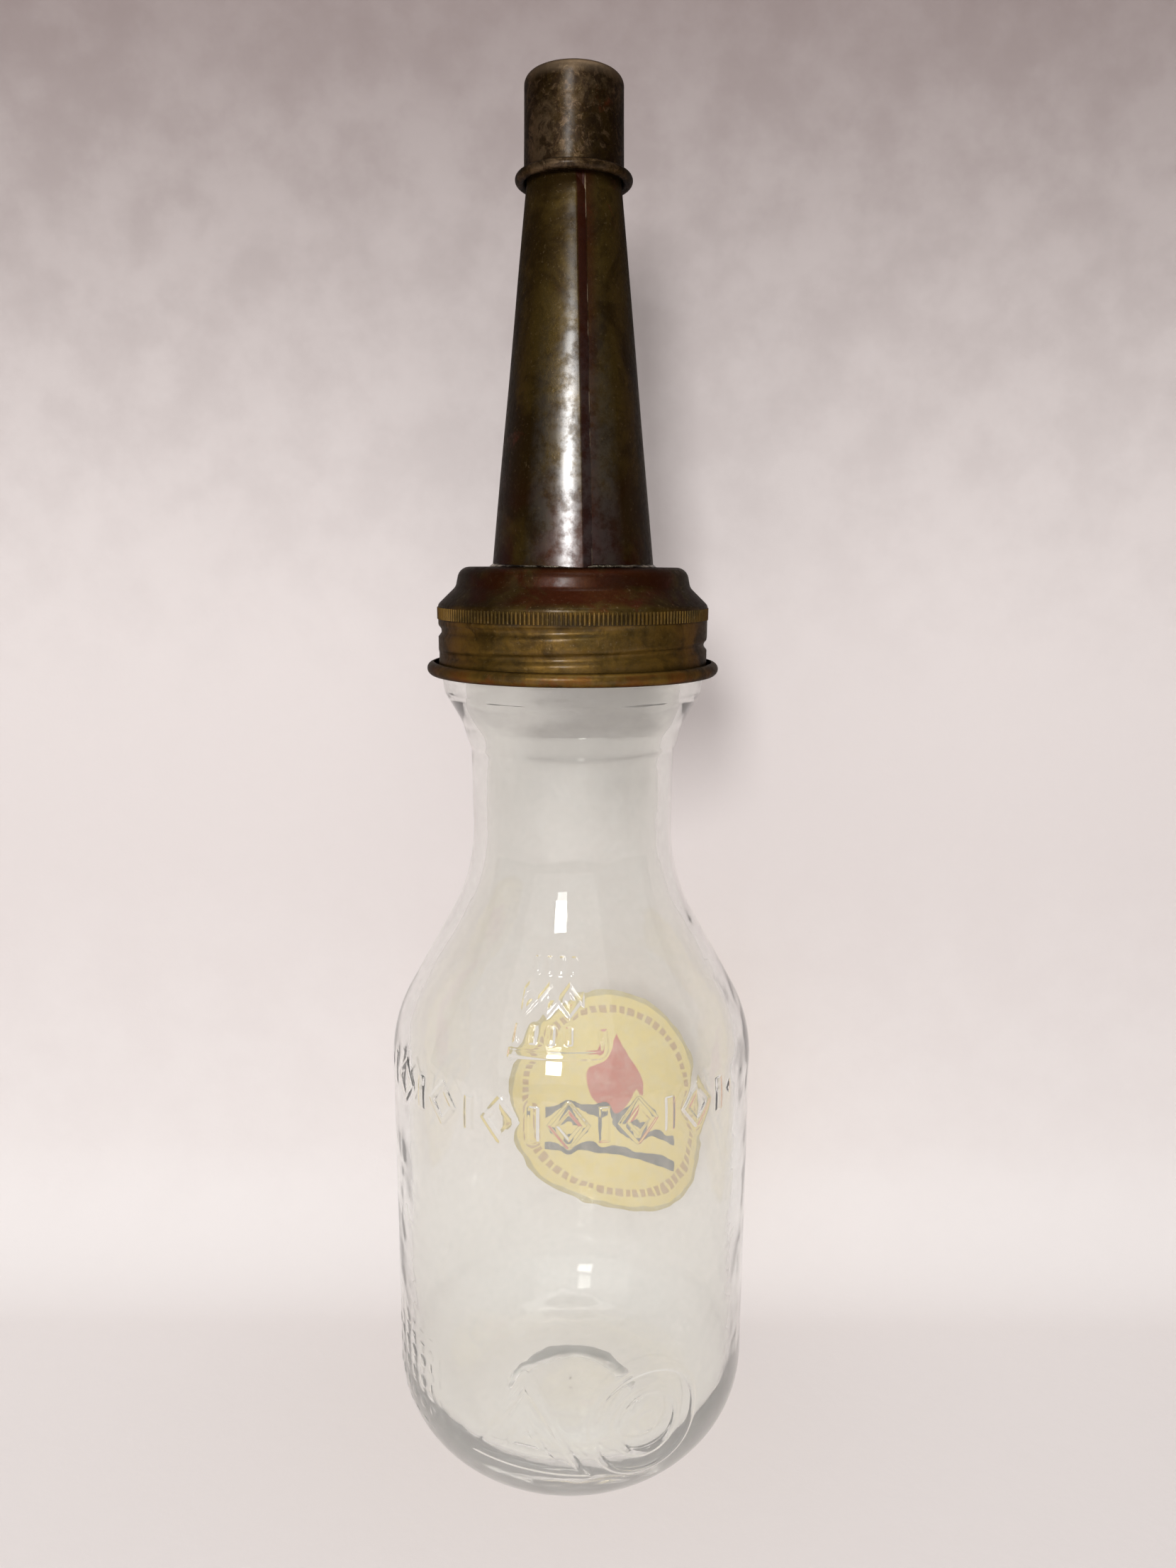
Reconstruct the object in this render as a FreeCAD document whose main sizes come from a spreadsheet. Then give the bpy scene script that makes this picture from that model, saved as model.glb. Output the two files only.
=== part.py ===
"""One-quart glass oil bottle with a screw-on tin pouring spout and a slip-on tip cap.

Millimetres. The origin is the centre of the base, +Z is up and -Y is the front.
Every size is a cell of the sheet "Sizes", and every sketch and feature is bound to those cells.
"""
import FreeCAD, Part
import math
import os
import re
import Sketcher

os.makedirs("parts", exist_ok=True)

doc = FreeCAD.newDocument("oil_bottle")

# Each driving size once, in millimetres or degrees, with what it measures.
SIZES = [
    # The glass
    ("body_radius", 50.5, "outside of the cylindrical body"),
    ("wall", 3.6, "thickness of the glass side wall"),
    ("heel_round", 26.0, "rounding between the base and the body"),
    ("floor_height", 7.0, "top of the glass floor round the middle"),
    ("floor_round", 7.0, "rounding of the floor where its middle rises"),
    ("base_ring_width", 4.5, "flat ring that the bottle stands on"),
    ("base_ring_round", 3.5, "rounding at the inner edge of that ring"),
    ("push_up", 3.5, "how far the middle of the base is raised"),
    ("push_up_slope", 6.0, "width of the slope up to the raised middle"),
    ("push_up_round", 5.0, "rounding at the edge of the raised middle"),
    ("body_height", 127.6, "where the body line meets the shoulder line"),
    ("shoulder_round", 37.0, "rounding at the top of the body"),
    ("shoulder_rise", 42.6, "rise of the shoulder line"),
    ("neck_round", 50.0, "hollow rounding at the foot of the neck"),
    ("neck_radius", 27.0, "outside of the neck at its foot"),
    ("neck_rise", 34.4, "rise of the neck line"),
    ("neck_growth", 0.4, "how much wider the neck is at its top"),
    ("step_rise", 1.5, "rise of the small step where the mouth mould starts"),
    ("step_width", 0.8, "how far that step stands out"),
    ("flare_foot_rise", 5.4, "rise of the lower, steep part of the flare"),
    ("flare_foot_width", 1.4, "how much wider that part gets"),
    ("flare_round", 14.0, "hollow rounding of the flare"),
    ("flare_rise", 8.4, "rise of the upper part of the flare"),
    ("flare_width", 4.8, "how much wider the upper part gets"),
    ("collar_rise", 4.3, "height of the upright band over the flare"),
    ("collar_width", 0.5, "how much wider the band gets"),
    ("collar_round", 0.8, "rounding at the foot of the band"),
    ("collar_ledge", 1.3, "ledge between the band and the threaded mouth"),
    ("ledge_round", 0.45, "rounding at the ledge"),
    ("mouth_rise", 17.0, "height of the threaded mouth"),
    ("mouth_wall", 4.8, "thickness of the glass at the mouth"),
    ("mouth_round", 10.0, "rounding inside the foot of the mouth"),
    ("rim_round", 1.2, "rounding of the rim"),
    # The screw thread
    ("thread_pitch", 6.35, "rise of the thread in one turn"),
    ("glass_thread_depth", 1.2, "how far the glass thread stands out"),
    ("glass_thread_sink", 0.6, "how deep its section starts in the glass"),
    ("glass_thread_crest", 1.2, "width of the glass thread at its top"),
    ("glass_thread_foot", 2.6, "width of the glass thread at its root"),
    ("glass_thread_turns", 1.5, "turns of the glass thread"),
    ("thread_play", 2.15, "height of the glass thread over the rolled thread that lifts against it"),
    ("rolled_thread_depth", 0.8, "depth of the thread rolled into the lid"),
    ("rolled_thread_bend", 1.3, "radius of the rolled thread's bottom"),
    ("rolled_thread_rise", 3.3, "height of its lower end, on the left, over the middle of the hem"),
    ("rolled_thread_turns", 1.35, "turns of the rolled thread"),
    # The screw lid
    ("tin", 0.4, "thickness of the tinplate"),
    ("lid_play", 2.0, "from the threaded mouth to the outside of the lid's skirt"),
    ("lid_lift", 1.8, "middle of the curled hem over the ledge of the glass"),
    ("lid_hem_curl", 1.75, "outer radius of the curled hem"),
    ("lid_corner_rise", 1.4, "where the skirt turns in, over the glass rim"),
    ("lid_corner_round", 1.6, "rounding at the top of the skirt"),
    ("lid_shoulder_rise", 4.6, "rise of the lid's shoulder"),
    ("lid_shoulder_width", 4.7, "how far the shoulder runs in"),
    ("lid_shoulder_round", 2.6, "hollow rounding at the top of the shoulder"),
    ("lid_brow_rise", 5.1, "rise of the raised middle of the lid"),
    ("lid_brow_width", 1.0, "how far its side runs in"),
    ("lid_brow_round", 3.2, "rounding at the edge of the flat top"),
    # The sealing ring
    ("seal_thickness", 2.2, "height of the sealing ring"),
    ("seal_bevel", 0.9, "bevel at its upper outer edge"),
    ("seal_play", 0.6, "room between the ring and the skirt"),
    # The spout
    ("spout_inset", 8.7, "from the edge of the raised middle to the foot of the cone"),
    ("spout_tip_radius", 10.65, "outside of the cone at its open end"),
    ("spout_length", 104.7, "height of the cone"),
    ("lap_width", 2.3, "width of the lapped seam"),
    ("lap_step", 0.9, "how far the lapped edge stands proud"),
    ("lap_clip", 3.6, "height of the corner clipped off the lap under the cap"),
    ("seam_turn", 13.5, "turn of the seam to the right of the front"),
    # The tip cap
    ("cap_length", 23.6, "from the middle of the cap's curled hem to its top"),
    ("cap_gap", 12.9, "top of the cap over the open end of the cone"),
    ("cap_ease", 1.8, "how much wider the cap's mouth is than the open end"),
    ("cap_taper", 0.2, "how much narrower the cap is at its top"),
    ("cap_round", 2.4, "rounding at the top of the cap"),
    ("cap_hem_curl", 1.3, "outer radius of the cap's curled hem"),
    ("trim_reach", 1.8, "how far the trimmed tip reaches below the middle of that hem"),
    # The label
    ("label_radius", 39.0, "radius of the round label, measured round the glass"),
    ("label_thickness", 0.15, "thickness of the label"),
    ("label_height", 77.0, "height of the label's middle"),
    ("label_turn", 16.7, "turn of the label to the right of straight back, seen from the front"),
    # Making
    ("cut_margin", 2.0, "how far a cutting shape runs past what it cuts"),
]

# Places that follow from those sizes, from the base up and from the neck out.
PLACES = [
    ("base_ring_radius", "body_radius - heel_round - base_ring_width", "inner edge of the base ring"),
    ("push_up_radius", "base_ring_radius - push_up_slope", "flat middle of the raised part"),
    ("neck_height", "body_height + shoulder_rise", "foot of the neck line"),
    ("neck_top_radius", "neck_radius + neck_growth", "outside of the neck at its top"),
    ("neck_top_height", "neck_height + neck_rise", "top of the neck line"),
    ("step_radius", "neck_top_radius + step_width", "outside of the step"),
    ("step_height", "neck_top_height + step_rise", "top of the step"),
    ("bend_radius", "step_radius + flare_foot_width", "outside of the flare where it bends out"),
    ("bend_height", "step_height + flare_foot_rise", "height of that bend"),
    ("flare_radius", "bend_radius + flare_width", "outside of the flare at its top"),
    ("flare_height", "bend_height + flare_rise", "top of the flare"),
    ("collar_radius", "flare_radius + collar_width", "outside of the upright band"),
    ("collar_height", "flare_height + collar_rise", "ledge over the band"),
    ("finish_radius", "collar_radius - collar_ledge", "outside of the mouth between the threads"),
    ("mouth_radius", "finish_radius - mouth_wall", "bore of the glass mouth"),
    ("rim_height", "collar_height + mouth_rise", "top of the glass mouth"),
    ("lid_radius", "finish_radius + lid_play", "outside of the lid's skirt"),
    ("lid_hem_height", "collar_height + lid_lift", "middle of the curled hem"),
    ("rolled_thread_start", "lid_hem_height + rolled_thread_rise", "lower end of the rolled thread"),
    ("lid_corner_height", "rim_height + lid_corner_rise", "where the skirt turns in"),
    ("lid_waist_radius", "lid_radius - lid_shoulder_width", "where the shoulder turns up"),
    ("lid_waist_height", "lid_corner_height + lid_shoulder_rise", "height of that turn"),
    ("lid_brow_radius", "lid_waist_radius - lid_brow_width", "side of the raised middle"),
    ("lid_top_height", "lid_waist_height + lid_brow_rise", "flat top of the lid"),
    ("spout_foot_radius", "lid_brow_radius - spout_inset", "outside of the cone at the lid"),
    ("spout_tip_height", "lid_top_height + spout_length", "height of the open end"),
    ("cap_radius", "spout_tip_radius + cap_ease", "outside of the cap at its mouth"),
    ("cap_top_height", "spout_tip_height + cap_gap", "top of the cap"),
    ("cap_hem_height", "cap_top_height - cap_length", "middle of the cap's curled hem"),
    ("cap_land_height", "cap_hem_height - trim_reach", "lower end of the trimmed tip"),
]

sheet = doc.addObject("Spreadsheet::Sheet", "Sizes")
for row, (alias, size, meaning) in enumerate(SIZES + PLACES, start=1):
    sheet.set(f"A{row}", meaning)
    sheet.setAlias(f"B{row}", alias)
    if isinstance(size, str):
        sheet.set(f"B{row}", "=" + size)
    else:
        sheet.set(f"B{row}", str(size))
doc.recompute()

ALIASES = {alias for alias, size, meaning in SIZES + PLACES}


def bound(expression):
    """The expression with every alias written as a cell of the sheet."""
    return re.sub(r"[a-z_]+", lambda word: cell_name(word.group()), expression)


def cell_name(word):
    if word in ALIASES:
        return "Sizes." + word
    return word


def value(expression):
    """The number that an expression of the sheet's aliases gives now."""
    return float(sheet.evalExpression(bound(expression)))


def plane(body, role):
    """One of the body's own origin planes."""
    for feature in body.Origin.OriginFeatures:
        if feature.Role == role:
            return feature
    raise ValueError(role)


def new_body(name):
    return doc.addObject("PartDesign::Body", name)


def new_sketch(body, name, role="XZ_Plane"):
    sketch = body.newObject("Sketcher::SketchObject", name)
    sketch.AttachmentSupport = [(plane(body, role), "")]
    sketch.MapMode = "FlatFace"
    return sketch


def place_point(constraints, names, geometry, end, across, up):
    """Dimension one point of a sketch from the origin; a plain 0 puts it on the axis."""
    for kind, expression, axis in (("DistanceX", across, -2), ("DistanceY", up, -1)):
        if expression == "0":
            constraints.append(Sketcher.Constraint("PointOnObject", geometry, end, axis))
            continue
        constraint = Sketcher.Constraint(kind, -1, 1, geometry, end, value(expression))
        constraint.Name = f"{kind[-1].lower()}{len(names)}"
        names[constraint.Name] = expression
        constraints.append(constraint)


def bind_names(sketch, names):
    for name, expression in names.items():
        sketch.setExpression(f"Constraints.{name}", bound(expression))


def rounded_corner(before, corner, after, radius):
    """The two touching points, the middle, the two angles and the turning side of a rounding."""
    into = (corner - before).normalize()
    out = (after - corner).normalize()
    turn = math.atan2(into.x * out.y - into.y * out.x, into.dot(out))
    reach = radius * math.tan(abs(turn) / 2)
    side = math.copysign(1, turn)
    start = corner - into * reach
    finish = corner + out * reach
    middle = start + FreeCAD.Vector(-into.y, into.x, 0) * (side * radius)
    angles = [math.atan2(point.y - middle.y, point.x - middle.x) for point in (start, finish)]
    return start, finish, middle, angles, side


def outline(sketch, corners):
    """Draw a closed outline of straight sides whose corners are (across, up, rounding)."""
    points = [FreeCAD.Vector(value(across), value(up), 0) for across, up, rounding in corners]
    count = len(corners)
    starts = list(points)
    finishes = list(points)
    arcs = {}
    for index, (across, up, rounding) in enumerate(corners):
        if rounding is None:
            continue
        after = points[(index + 1) % count]
        touching = rounded_corner(points[index - 1], points[index], after, value(rounding))
        finishes[index], starts[index], middle, angles, side = touching
        arcs[index] = (middle, angles, side)
    for index in range(count):
        line = Part.LineSegment(starts[index], finishes[(index + 1) % count])
        sketch.addGeometry(line, False)
    constraints = []
    names = {}
    for index, (across, up, rounding) in enumerate(corners):
        side_before = (index - 1) % count
        if rounding is None:
            constraints.append(Sketcher.Constraint("Coincident", side_before, 2, index, 1))
            place_point(constraints, names, index, 1, across, up)
            continue
        middle, angles, side = arcs[index]
        circle = Part.Circle(middle, FreeCAD.Vector(0, 0, 1), value(rounding))
        ends = (1, 2)
        if side < 0:
            angles = angles[::-1]
            ends = (2, 1)
        arc = sketch.addGeometry(Part.ArcOfCircle(circle, angles[0], angles[1]), False)
        point = sketch.addGeometry(Part.Point(points[index]), True)
        place_point(constraints, names, point, 1, across, up)
        constraints.append(Sketcher.Constraint("PointOnObject", point, 1, side_before))
        constraints.append(Sketcher.Constraint("PointOnObject", point, 1, index))
        constraints.append(Sketcher.Constraint("Tangent", side_before, 2, arc, ends[0]))
        constraints.append(Sketcher.Constraint("Tangent", arc, ends[1], index, 1))
        radius = Sketcher.Constraint("Radius", arc, value(rounding))
        radius.Name = f"round{len(names)}"
        names[radius.Name] = rounding
        constraints.append(radius)
    sketch.addConstraint(constraints)
    bind_names(sketch, names)


def turned(body, name, corners, kind="PartDesign::Revolution"):
    """Turn an outline of (radius, height, rounding) corners about the bottle's axis."""
    sketch = new_sketch(body, name + "_outline")
    outline(sketch, corners)
    return turned_sketch(body, name, sketch, kind)


def turned_sketch(body, name, sketch, kind="PartDesign::Revolution"):
    feature = body.newObject(kind, name)
    feature.Profile = sketch
    feature.ReferenceAxis = (sketch, ["V_Axis"])
    feature.Angle = 360
    return feature


def curled_hem(body, name, inside, height, curl):
    """Add a sheet edge curled outwards: three quarters of a tube whose inside starts the skirt."""
    sketch = new_sketch(body, name + "_outline")
    middle = FreeCAD.Vector(value(f"{inside} + {curl}"), value(height), 0)
    outer = Part.Circle(middle, FreeCAD.Vector(0, 0, 1), value(curl))
    inner = Part.Circle(middle, FreeCAD.Vector(0, 0, 1), value(f"{curl} - tin"))
    start = math.pi
    finish = 2.5 * math.pi
    sketch.addGeometry(Part.ArcOfCircle(outer, start, finish), False)
    sketch.addGeometry(Part.ArcOfCircle(inner, start, finish), False)
    ends = []
    for angle in (start, finish):
        away = FreeCAD.Vector(math.cos(angle), math.sin(angle), 0)
        ends.append((middle + away * outer.Radius, middle + away * inner.Radius))
    for from_outer, to_inner in ends:
        sketch.addGeometry(Part.LineSegment(from_outer, to_inner), False)
    constraints = [
        Sketcher.Constraint("Coincident", 0, 3, 1, 3),
        Sketcher.Constraint("Coincident", 0, 1, 2, 1),
        Sketcher.Constraint("Coincident", 1, 1, 2, 2),
        Sketcher.Constraint("Coincident", 0, 2, 3, 1),
        Sketcher.Constraint("Coincident", 1, 2, 3, 2),
        Sketcher.Constraint("Horizontal", 2),
        Sketcher.Constraint("Vertical", 3),
    ]
    names = {}
    place_point(constraints, names, 0, 3, f"{inside} + {curl}", height)
    for arc, radius in ((0, curl), (1, f"{curl} - tin")):
        constraint = Sketcher.Constraint("Radius", arc, value(radius))
        constraint.Name = f"curl{arc}"
        names[constraint.Name] = radius
        constraints.append(constraint)
    constraints.append(Sketcher.Constraint("PointOnObject", 0, 3, 2))
    constraints.append(Sketcher.Constraint("PointOnObject", 0, 3, 3))
    sketch.addConstraint(constraints)
    bind_names(sketch, names)
    return turned_sketch(body, name, sketch)


def helix(body, name, kind, sketch, turns):
    """Carry a thread's section up the bottle's axis, right-handed."""
    doc.recompute()
    feature = body.newObject(kind, name)
    feature.Profile = sketch
    feature.ReferenceAxis = (sketch, ["V_Axis"])
    feature.Mode = "pitch-turns-angle"
    feature.setExpression("Pitch", bound("thread_pitch"))
    feature.setExpression("Turns", bound(turns))
    feature.LeftHanded = False
    return feature


def round_section(body, name, radius, across, up):
    """A circle for a thread's section."""
    sketch = new_sketch(body, name)
    middle = FreeCAD.Vector(value(across), value(up), 0)
    sketch.addGeometry(Part.Circle(middle, FreeCAD.Vector(0, 0, 1), value(radius)), False)
    size = Sketcher.Constraint("Radius", 0, value(radius))
    size.Name = "bend"
    names = {"bend": radius}
    constraints = [size]
    place_point(constraints, names, 0, 3, across, up)
    sketch.addConstraint(constraints)
    bind_names(sketch, names)
    return sketch


def glass_bottle():
    """The blown bottle: raised base, round heel, cylinder, long shoulder, neck, flare and mouth."""
    body = new_body("glass_bottle")
    inside = "body_radius - wall"
    neck_inside = "neck_radius - wall"
    turned(body, "bottle", [
        ("0", "push_up", None),
        ("push_up_radius", "push_up", "push_up_round"),
        ("base_ring_radius", "0", "base_ring_round"),
        ("body_radius", "0", "heel_round"),
        ("body_radius", "body_height", "shoulder_round"),
        ("neck_radius", "neck_height", "neck_round"),
        ("neck_top_radius", "neck_top_height", "step_rise"),
        ("step_radius", "step_height", "step_rise"),
        ("bend_radius", "bend_height", "flare_round"),
        ("flare_radius", "flare_height", "collar_round"),
        ("collar_radius", "collar_height", "ledge_round"),
        ("finish_radius", "collar_height", "ledge_round"),
        ("finish_radius", "rim_height", "rim_round"),
        ("mouth_radius", "rim_height", "rim_round"),
        ("mouth_radius", "flare_height", "mouth_round"),
        (f"{neck_inside} + neck_growth", "neck_top_height", "mouth_round"),
        (neck_inside, "neck_height", "neck_round"),
        (inside, "body_height", "shoulder_round - wall"),
        (inside, "floor_height", "heel_round - wall"),
        ("base_ring_radius + wall / 2", "floor_height", "floor_round"),
        ("push_up_radius", "floor_height + push_up", "floor_round"),
        ("0", "floor_height + push_up", None),
    ])
    foot = "finish_radius - glass_thread_sink"
    crest = "finish_radius + glass_thread_depth"
    start = "rolled_thread_start + thread_play - thread_pitch / 2"
    slope = "(glass_thread_foot - glass_thread_crest) / 2"
    section = new_sketch(body, "glass_thread_section")
    outline(section, [
        (foot, f"{start} - glass_thread_foot / 2", None),
        ("finish_radius", f"{start} - glass_thread_foot / 2", None),
        (crest, f"{start} - glass_thread_foot / 2 + {slope}", None),
        (crest, f"{start} + glass_thread_foot / 2 - {slope}", None),
        ("finish_radius", f"{start} + glass_thread_foot / 2", None),
        (foot, f"{start} + glass_thread_foot / 2", None),
    ])
    helix(body, "glass_thread", "PartDesign::AdditiveHelix", section, "glass_thread_turns")
    return body


def screw_lid():
    """The pressed tin lid: hem curled outwards, rolled thread, turned-in shoulder and raised top."""
    skirt = "lid_radius"
    shell = new_body("lid_outside")
    turned(shell, "lid_form", [
        ("0", "lid_hem_height", None),
        (skirt, "lid_hem_height", None),
        (skirt, "lid_corner_height", "lid_corner_round"),
        ("lid_waist_radius", "lid_waist_height", "lid_shoulder_round"),
        ("lid_brow_radius", "lid_top_height", "lid_brow_round"),
        ("0", "lid_top_height", None),
    ])
    curled_hem(shell, "lid_hem", f"{skirt} - tin", "lid_hem_height", "lid_hem_curl")
    thread_middle = f"-({skirt} + rolled_thread_bend - rolled_thread_depth)"
    bend = "rolled_thread_bend"
    groove = round_section(shell, "groove_section", bend, thread_middle, "rolled_thread_start")
    helix(shell, "rolled_groove", "PartDesign::SubtractiveHelix", groove, "rolled_thread_turns")

    hollow = new_body("lid_inside")
    turned(hollow, "lid_hollow", [
        ("0", "lid_hem_height - lid_hem_curl - cut_margin", None),
        (f"{skirt} - tin", "lid_hem_height - lid_hem_curl - cut_margin", None),
        (f"{skirt} - tin", "lid_corner_height - tin / 2", "lid_corner_round - tin"),
        ("lid_waist_radius - tin", "lid_waist_height - tin / 2", "lid_shoulder_round + tin"),
        ("lid_brow_radius - tin", "lid_top_height - tin", "lid_brow_round - tin"),
        ("spout_foot_radius - tin", "lid_top_height - tin", None),
        ("spout_foot_radius - tin", "lid_top_height + cut_margin", None),
        ("0", "lid_top_height + cut_margin", None),
    ])
    bend = "rolled_thread_bend + tin"
    ridge = round_section(hollow, "ridge_section", bend, thread_middle, "rolled_thread_start")
    helix(hollow, "rolled_ridge", "PartDesign::SubtractiveHelix", ridge, "rolled_thread_turns")

    lid = doc.addObject("Part::Cut", "screw_lid")
    lid.Base = shell
    lid.Tool = hollow
    return lid


def seal_ring():
    """The sealing ring that the lid presses on the glass rim."""
    body = new_body("seal_ring")
    outside = "lid_radius - tin - seal_play"
    top = "rim_height + seal_thickness"
    turned(body, "ring", [
        ("mouth_radius + rim_round", "rim_height", None),
        (outside, "rim_height", None),
        (outside, f"{top} - seal_bevel", None),
        (f"{outside} - seal_bevel", top, None),
        ("mouth_radius + rim_round", top, None),
    ])
    return body


def lapped_section(body, name, radius, height, inset):
    """The section of a sheet rolled round until its left edge laps over its right one.

    Three quarters are a plain circle; the last quarter widens to the raised lap at the front.
    """
    sketch = new_sketch(body, name, "XY_Plane")
    sketch.setExpression("AttachmentOffset.Base.z", bound(height))
    round_part = f"{radius} - {inset}"
    crease = f"{radius} + lap_step - {inset}"
    big = value(round_part)
    reach = value("lap_width")
    drop = value(crease)
    rest = big - reach
    wide = (rest ** 2 + drop ** 2) / (2 * rest)
    origin = FreeCAD.Vector(0, 0, 0)
    up = FreeCAD.Vector(0, 0, 1)
    shift = FreeCAD.Vector(wide - big, 0, 0)
    crease_angle = math.atan2(-drop, -reach - shift.x)
    fold = FreeCAD.Vector(-reach, -drop, 0)
    foot = FreeCAD.Vector(0, -big, 0)
    plain = Part.Circle(origin, up, big)
    widening = Part.Circle(shift, up, wide)
    sketch.addGeometry(Part.ArcOfCircle(plain, -math.pi / 2, math.pi), False)
    sketch.addGeometry(Part.ArcOfCircle(widening, math.pi, crease_angle + 2 * math.pi), False)
    names = {}
    constraints = [
        Sketcher.Constraint("Coincident", 0, 3, -1, 1),
        Sketcher.Constraint("PointOnObject", 0, 1, -2),
        Sketcher.Constraint("PointOnObject", 0, 2, -1),
        Sketcher.Constraint("Coincident", 0, 2, 1, 1),
        Sketcher.Constraint("PointOnObject", 1, 3, -1),
    ]
    if inset == "0":
        lip = FreeCAD.Vector(0, -value(f"{radius} + tin"), 0)
        sketch.addGeometry(Part.LineSegment(fold, lip), False)
        sketch.addGeometry(Part.LineSegment(lip, foot), False)
        constraints.append(Sketcher.Constraint("Coincident", 2, 2, 3, 1))
        constraints.append(Sketcher.Constraint("Coincident", 3, 2, 0, 1))
        place_point(constraints, names, 2, 2, "0", f"-({radius} + tin)")
    else:
        sketch.addGeometry(Part.LineSegment(fold, foot), False)
        constraints.append(Sketcher.Constraint("Coincident", 2, 2, 0, 1))
    constraints.append(Sketcher.Constraint("Coincident", 1, 2, 2, 1))
    place_point(constraints, names, 2, 1, "-lap_width", f"-({crease})")
    size = Sketcher.Constraint("Radius", 0, big)
    size.Name = "roll"
    names["roll"] = round_part
    constraints.append(size)
    sketch.addConstraint(constraints)
    bind_names(sketch, names)
    return sketch


def lofted(body, name, kind, lower, upper):
    feature = body.newObject(kind, name)
    feature.Profile = lower
    feature.Sections = [upper]
    feature.Ruled = True
    return feature


def outside_cone(body, name, height, kind="PartDesign::Revolution"):
    """The space round the plain cone from a height up, as a solid or as a cut."""
    growth = "(spout_foot_radius - spout_tip_radius) / spout_length"
    clear = "spout_tip_radius + spout_inset"
    turned(body, name, [
        (f"spout_tip_radius + (spout_tip_height - ({height})) * {growth}", height, None),
        (clear, height, None),
        (clear, "spout_tip_height + cut_margin", None),
        (f"spout_tip_radius - cut_margin * {growth}", "spout_tip_height + cut_margin", None),
    ], kind)


def spout_cone():
    """The long cone of sheet tin with a lapped seam, trimmed round where the cap slips on."""
    body = new_body("lapped_cone")
    foot = "spout_foot_radius"
    tip = "spout_tip_radius"
    low = "lid_top_height"
    high = "spout_tip_height"
    lower = lapped_section(body, "foot_outside", foot, low, "0")
    upper = lapped_section(body, "tip_outside", tip, high, "0")
    lofted(body, "cone", "PartDesign::AdditiveLoft", lower, upper)
    lower = lapped_section(body, "foot_inside", foot, low, "tin")
    upper = lapped_section(body, "tip_inside", tip, high, "tin")
    lofted(body, "bore", "PartDesign::SubtractiveLoft", lower, upper)
    outside_cone(body, "cap_land_trim", "cap_land_height", "PartDesign::Groove")

    around = new_body("around_cone")
    outside_cone(around, "around_cone_form", "cap_land_height - lap_clip - cut_margin")
    corner = new_body("clipped_corner")
    face = new_sketch(corner, "clip_outline")
    outline(face, [
        ("-lap_width", "cap_land_height + cut_margin", None),
        ("-lap_width", "cap_land_height", None),
        ("0", "cap_land_height - lap_clip", None),
        ("cut_margin", "cap_land_height - lap_clip", None),
        ("cut_margin", "cap_land_height + cut_margin", None),
    ])
    block = corner.newObject("PartDesign::Pad", "clip_block")
    block.Profile = face
    block.setExpression("Length", bound("spout_foot_radius"))
    clip = doc.addObject("Part::MultiCommon", "clipped_off")
    clip.Shapes = [around, corner]

    cone = doc.addObject("Part::Cut", "spout_cone")
    cone.Base = body
    cone.Tool = clip
    cone.setExpression("Placement.Rotation.Angle", bound("seam_turn"))
    return cone


def tip_cap():
    """The small drawn cap that slips over the open end of the cone."""
    body = new_body("tip_cap")
    turned(body, "cap_form", [
        ("0", "cap_hem_height", None),
        ("cap_radius", "cap_hem_height", None),
        ("cap_radius - cap_taper", "cap_top_height", "cap_round"),
        ("0", "cap_top_height", None),
    ])
    curled_hem(body, "cap_hem", "cap_radius - tin", "cap_hem_height", "cap_hem_curl")
    turned(body, "cap_hollow", [
        ("0", "cap_hem_height - cap_hem_curl - cut_margin", None),
        ("cap_radius - tin", "cap_hem_height - cap_hem_curl - cut_margin", None),
        ("cap_radius - tin", "cap_hem_height", None),
        ("cap_radius - cap_taper - tin", "cap_top_height - tin", "cap_round - tin"),
        ("0", "cap_top_height - tin", None),
    ], "PartDesign::Groove")
    return body


def label():
    """The round label on the back: a thin shell of the body's own curve, cut out by a disc."""
    body = new_body("label_shell")
    turned(body, "label_shell_form", [
        ("body_radius", "label_height - label_radius - cut_margin", None),
        ("body_radius + label_thickness", "label_height - label_radius - cut_margin", None),
        ("body_radius + label_thickness", "label_height + label_radius + cut_margin", None),
        ("body_radius", "label_height + label_radius + cut_margin", None),
    ])
    disc = doc.addObject("Part::Cylinder", "label_disc")
    disc.setExpression("Radius", bound("label_radius"))
    disc.setExpression("Height", bound("body_radius + label_thickness + cut_margin"))
    disc.setExpression("Placement.Base.z", bound("label_height"))
    disc.Placement.Rotation = FreeCAD.Rotation(FreeCAD.Vector(1, 0, 0), -90)
    cut_out = doc.addObject("Part::MultiCommon", "label")
    cut_out.Shapes = [body, disc]
    cut_out.setExpression("Placement.Rotation.Angle", bound("-label_turn"))
    return cut_out


def check(parts):
    """Stop if anything in the document failed or a sub-part isn't a sound solid."""
    for thing in doc.Objects:
        if "Invalid" in thing.State or "Error" in thing.State:
            raise RuntimeError(f"{thing.Name} failed: {thing.State}")
    for part in parts:
        if part.Shape.isNull() or not part.Shape.isValid():
            raise RuntimeError(f"{part.Label} has no sound shape")
        if len(part.Shape.Solids) != 1:
            raise RuntimeError(f"{part.Label} has {len(part.Shape.Solids)} solids")


PIECES = {
    "glass_bottle": glass_bottle,
    "label": label,
    "seal_ring": seal_ring,
    "screw_lid": screw_lid,
    "spout_cone": spout_cone,
    "tip_cap": tip_cap,
}

parts = []
for name, make in PIECES.items():
    part = make()
    part.Label = name
    parts.append(part)

doc.recompute()
check(parts)
for part in parts:
    part.Shape.exportStep(f"parts/{part.Label}.step")
    box = part.Shape.BoundBox
    print(part.Label, "volume", round(part.Shape.Volume), "height", round(box.ZMin, 2), round(box.ZMax, 2))
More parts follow.
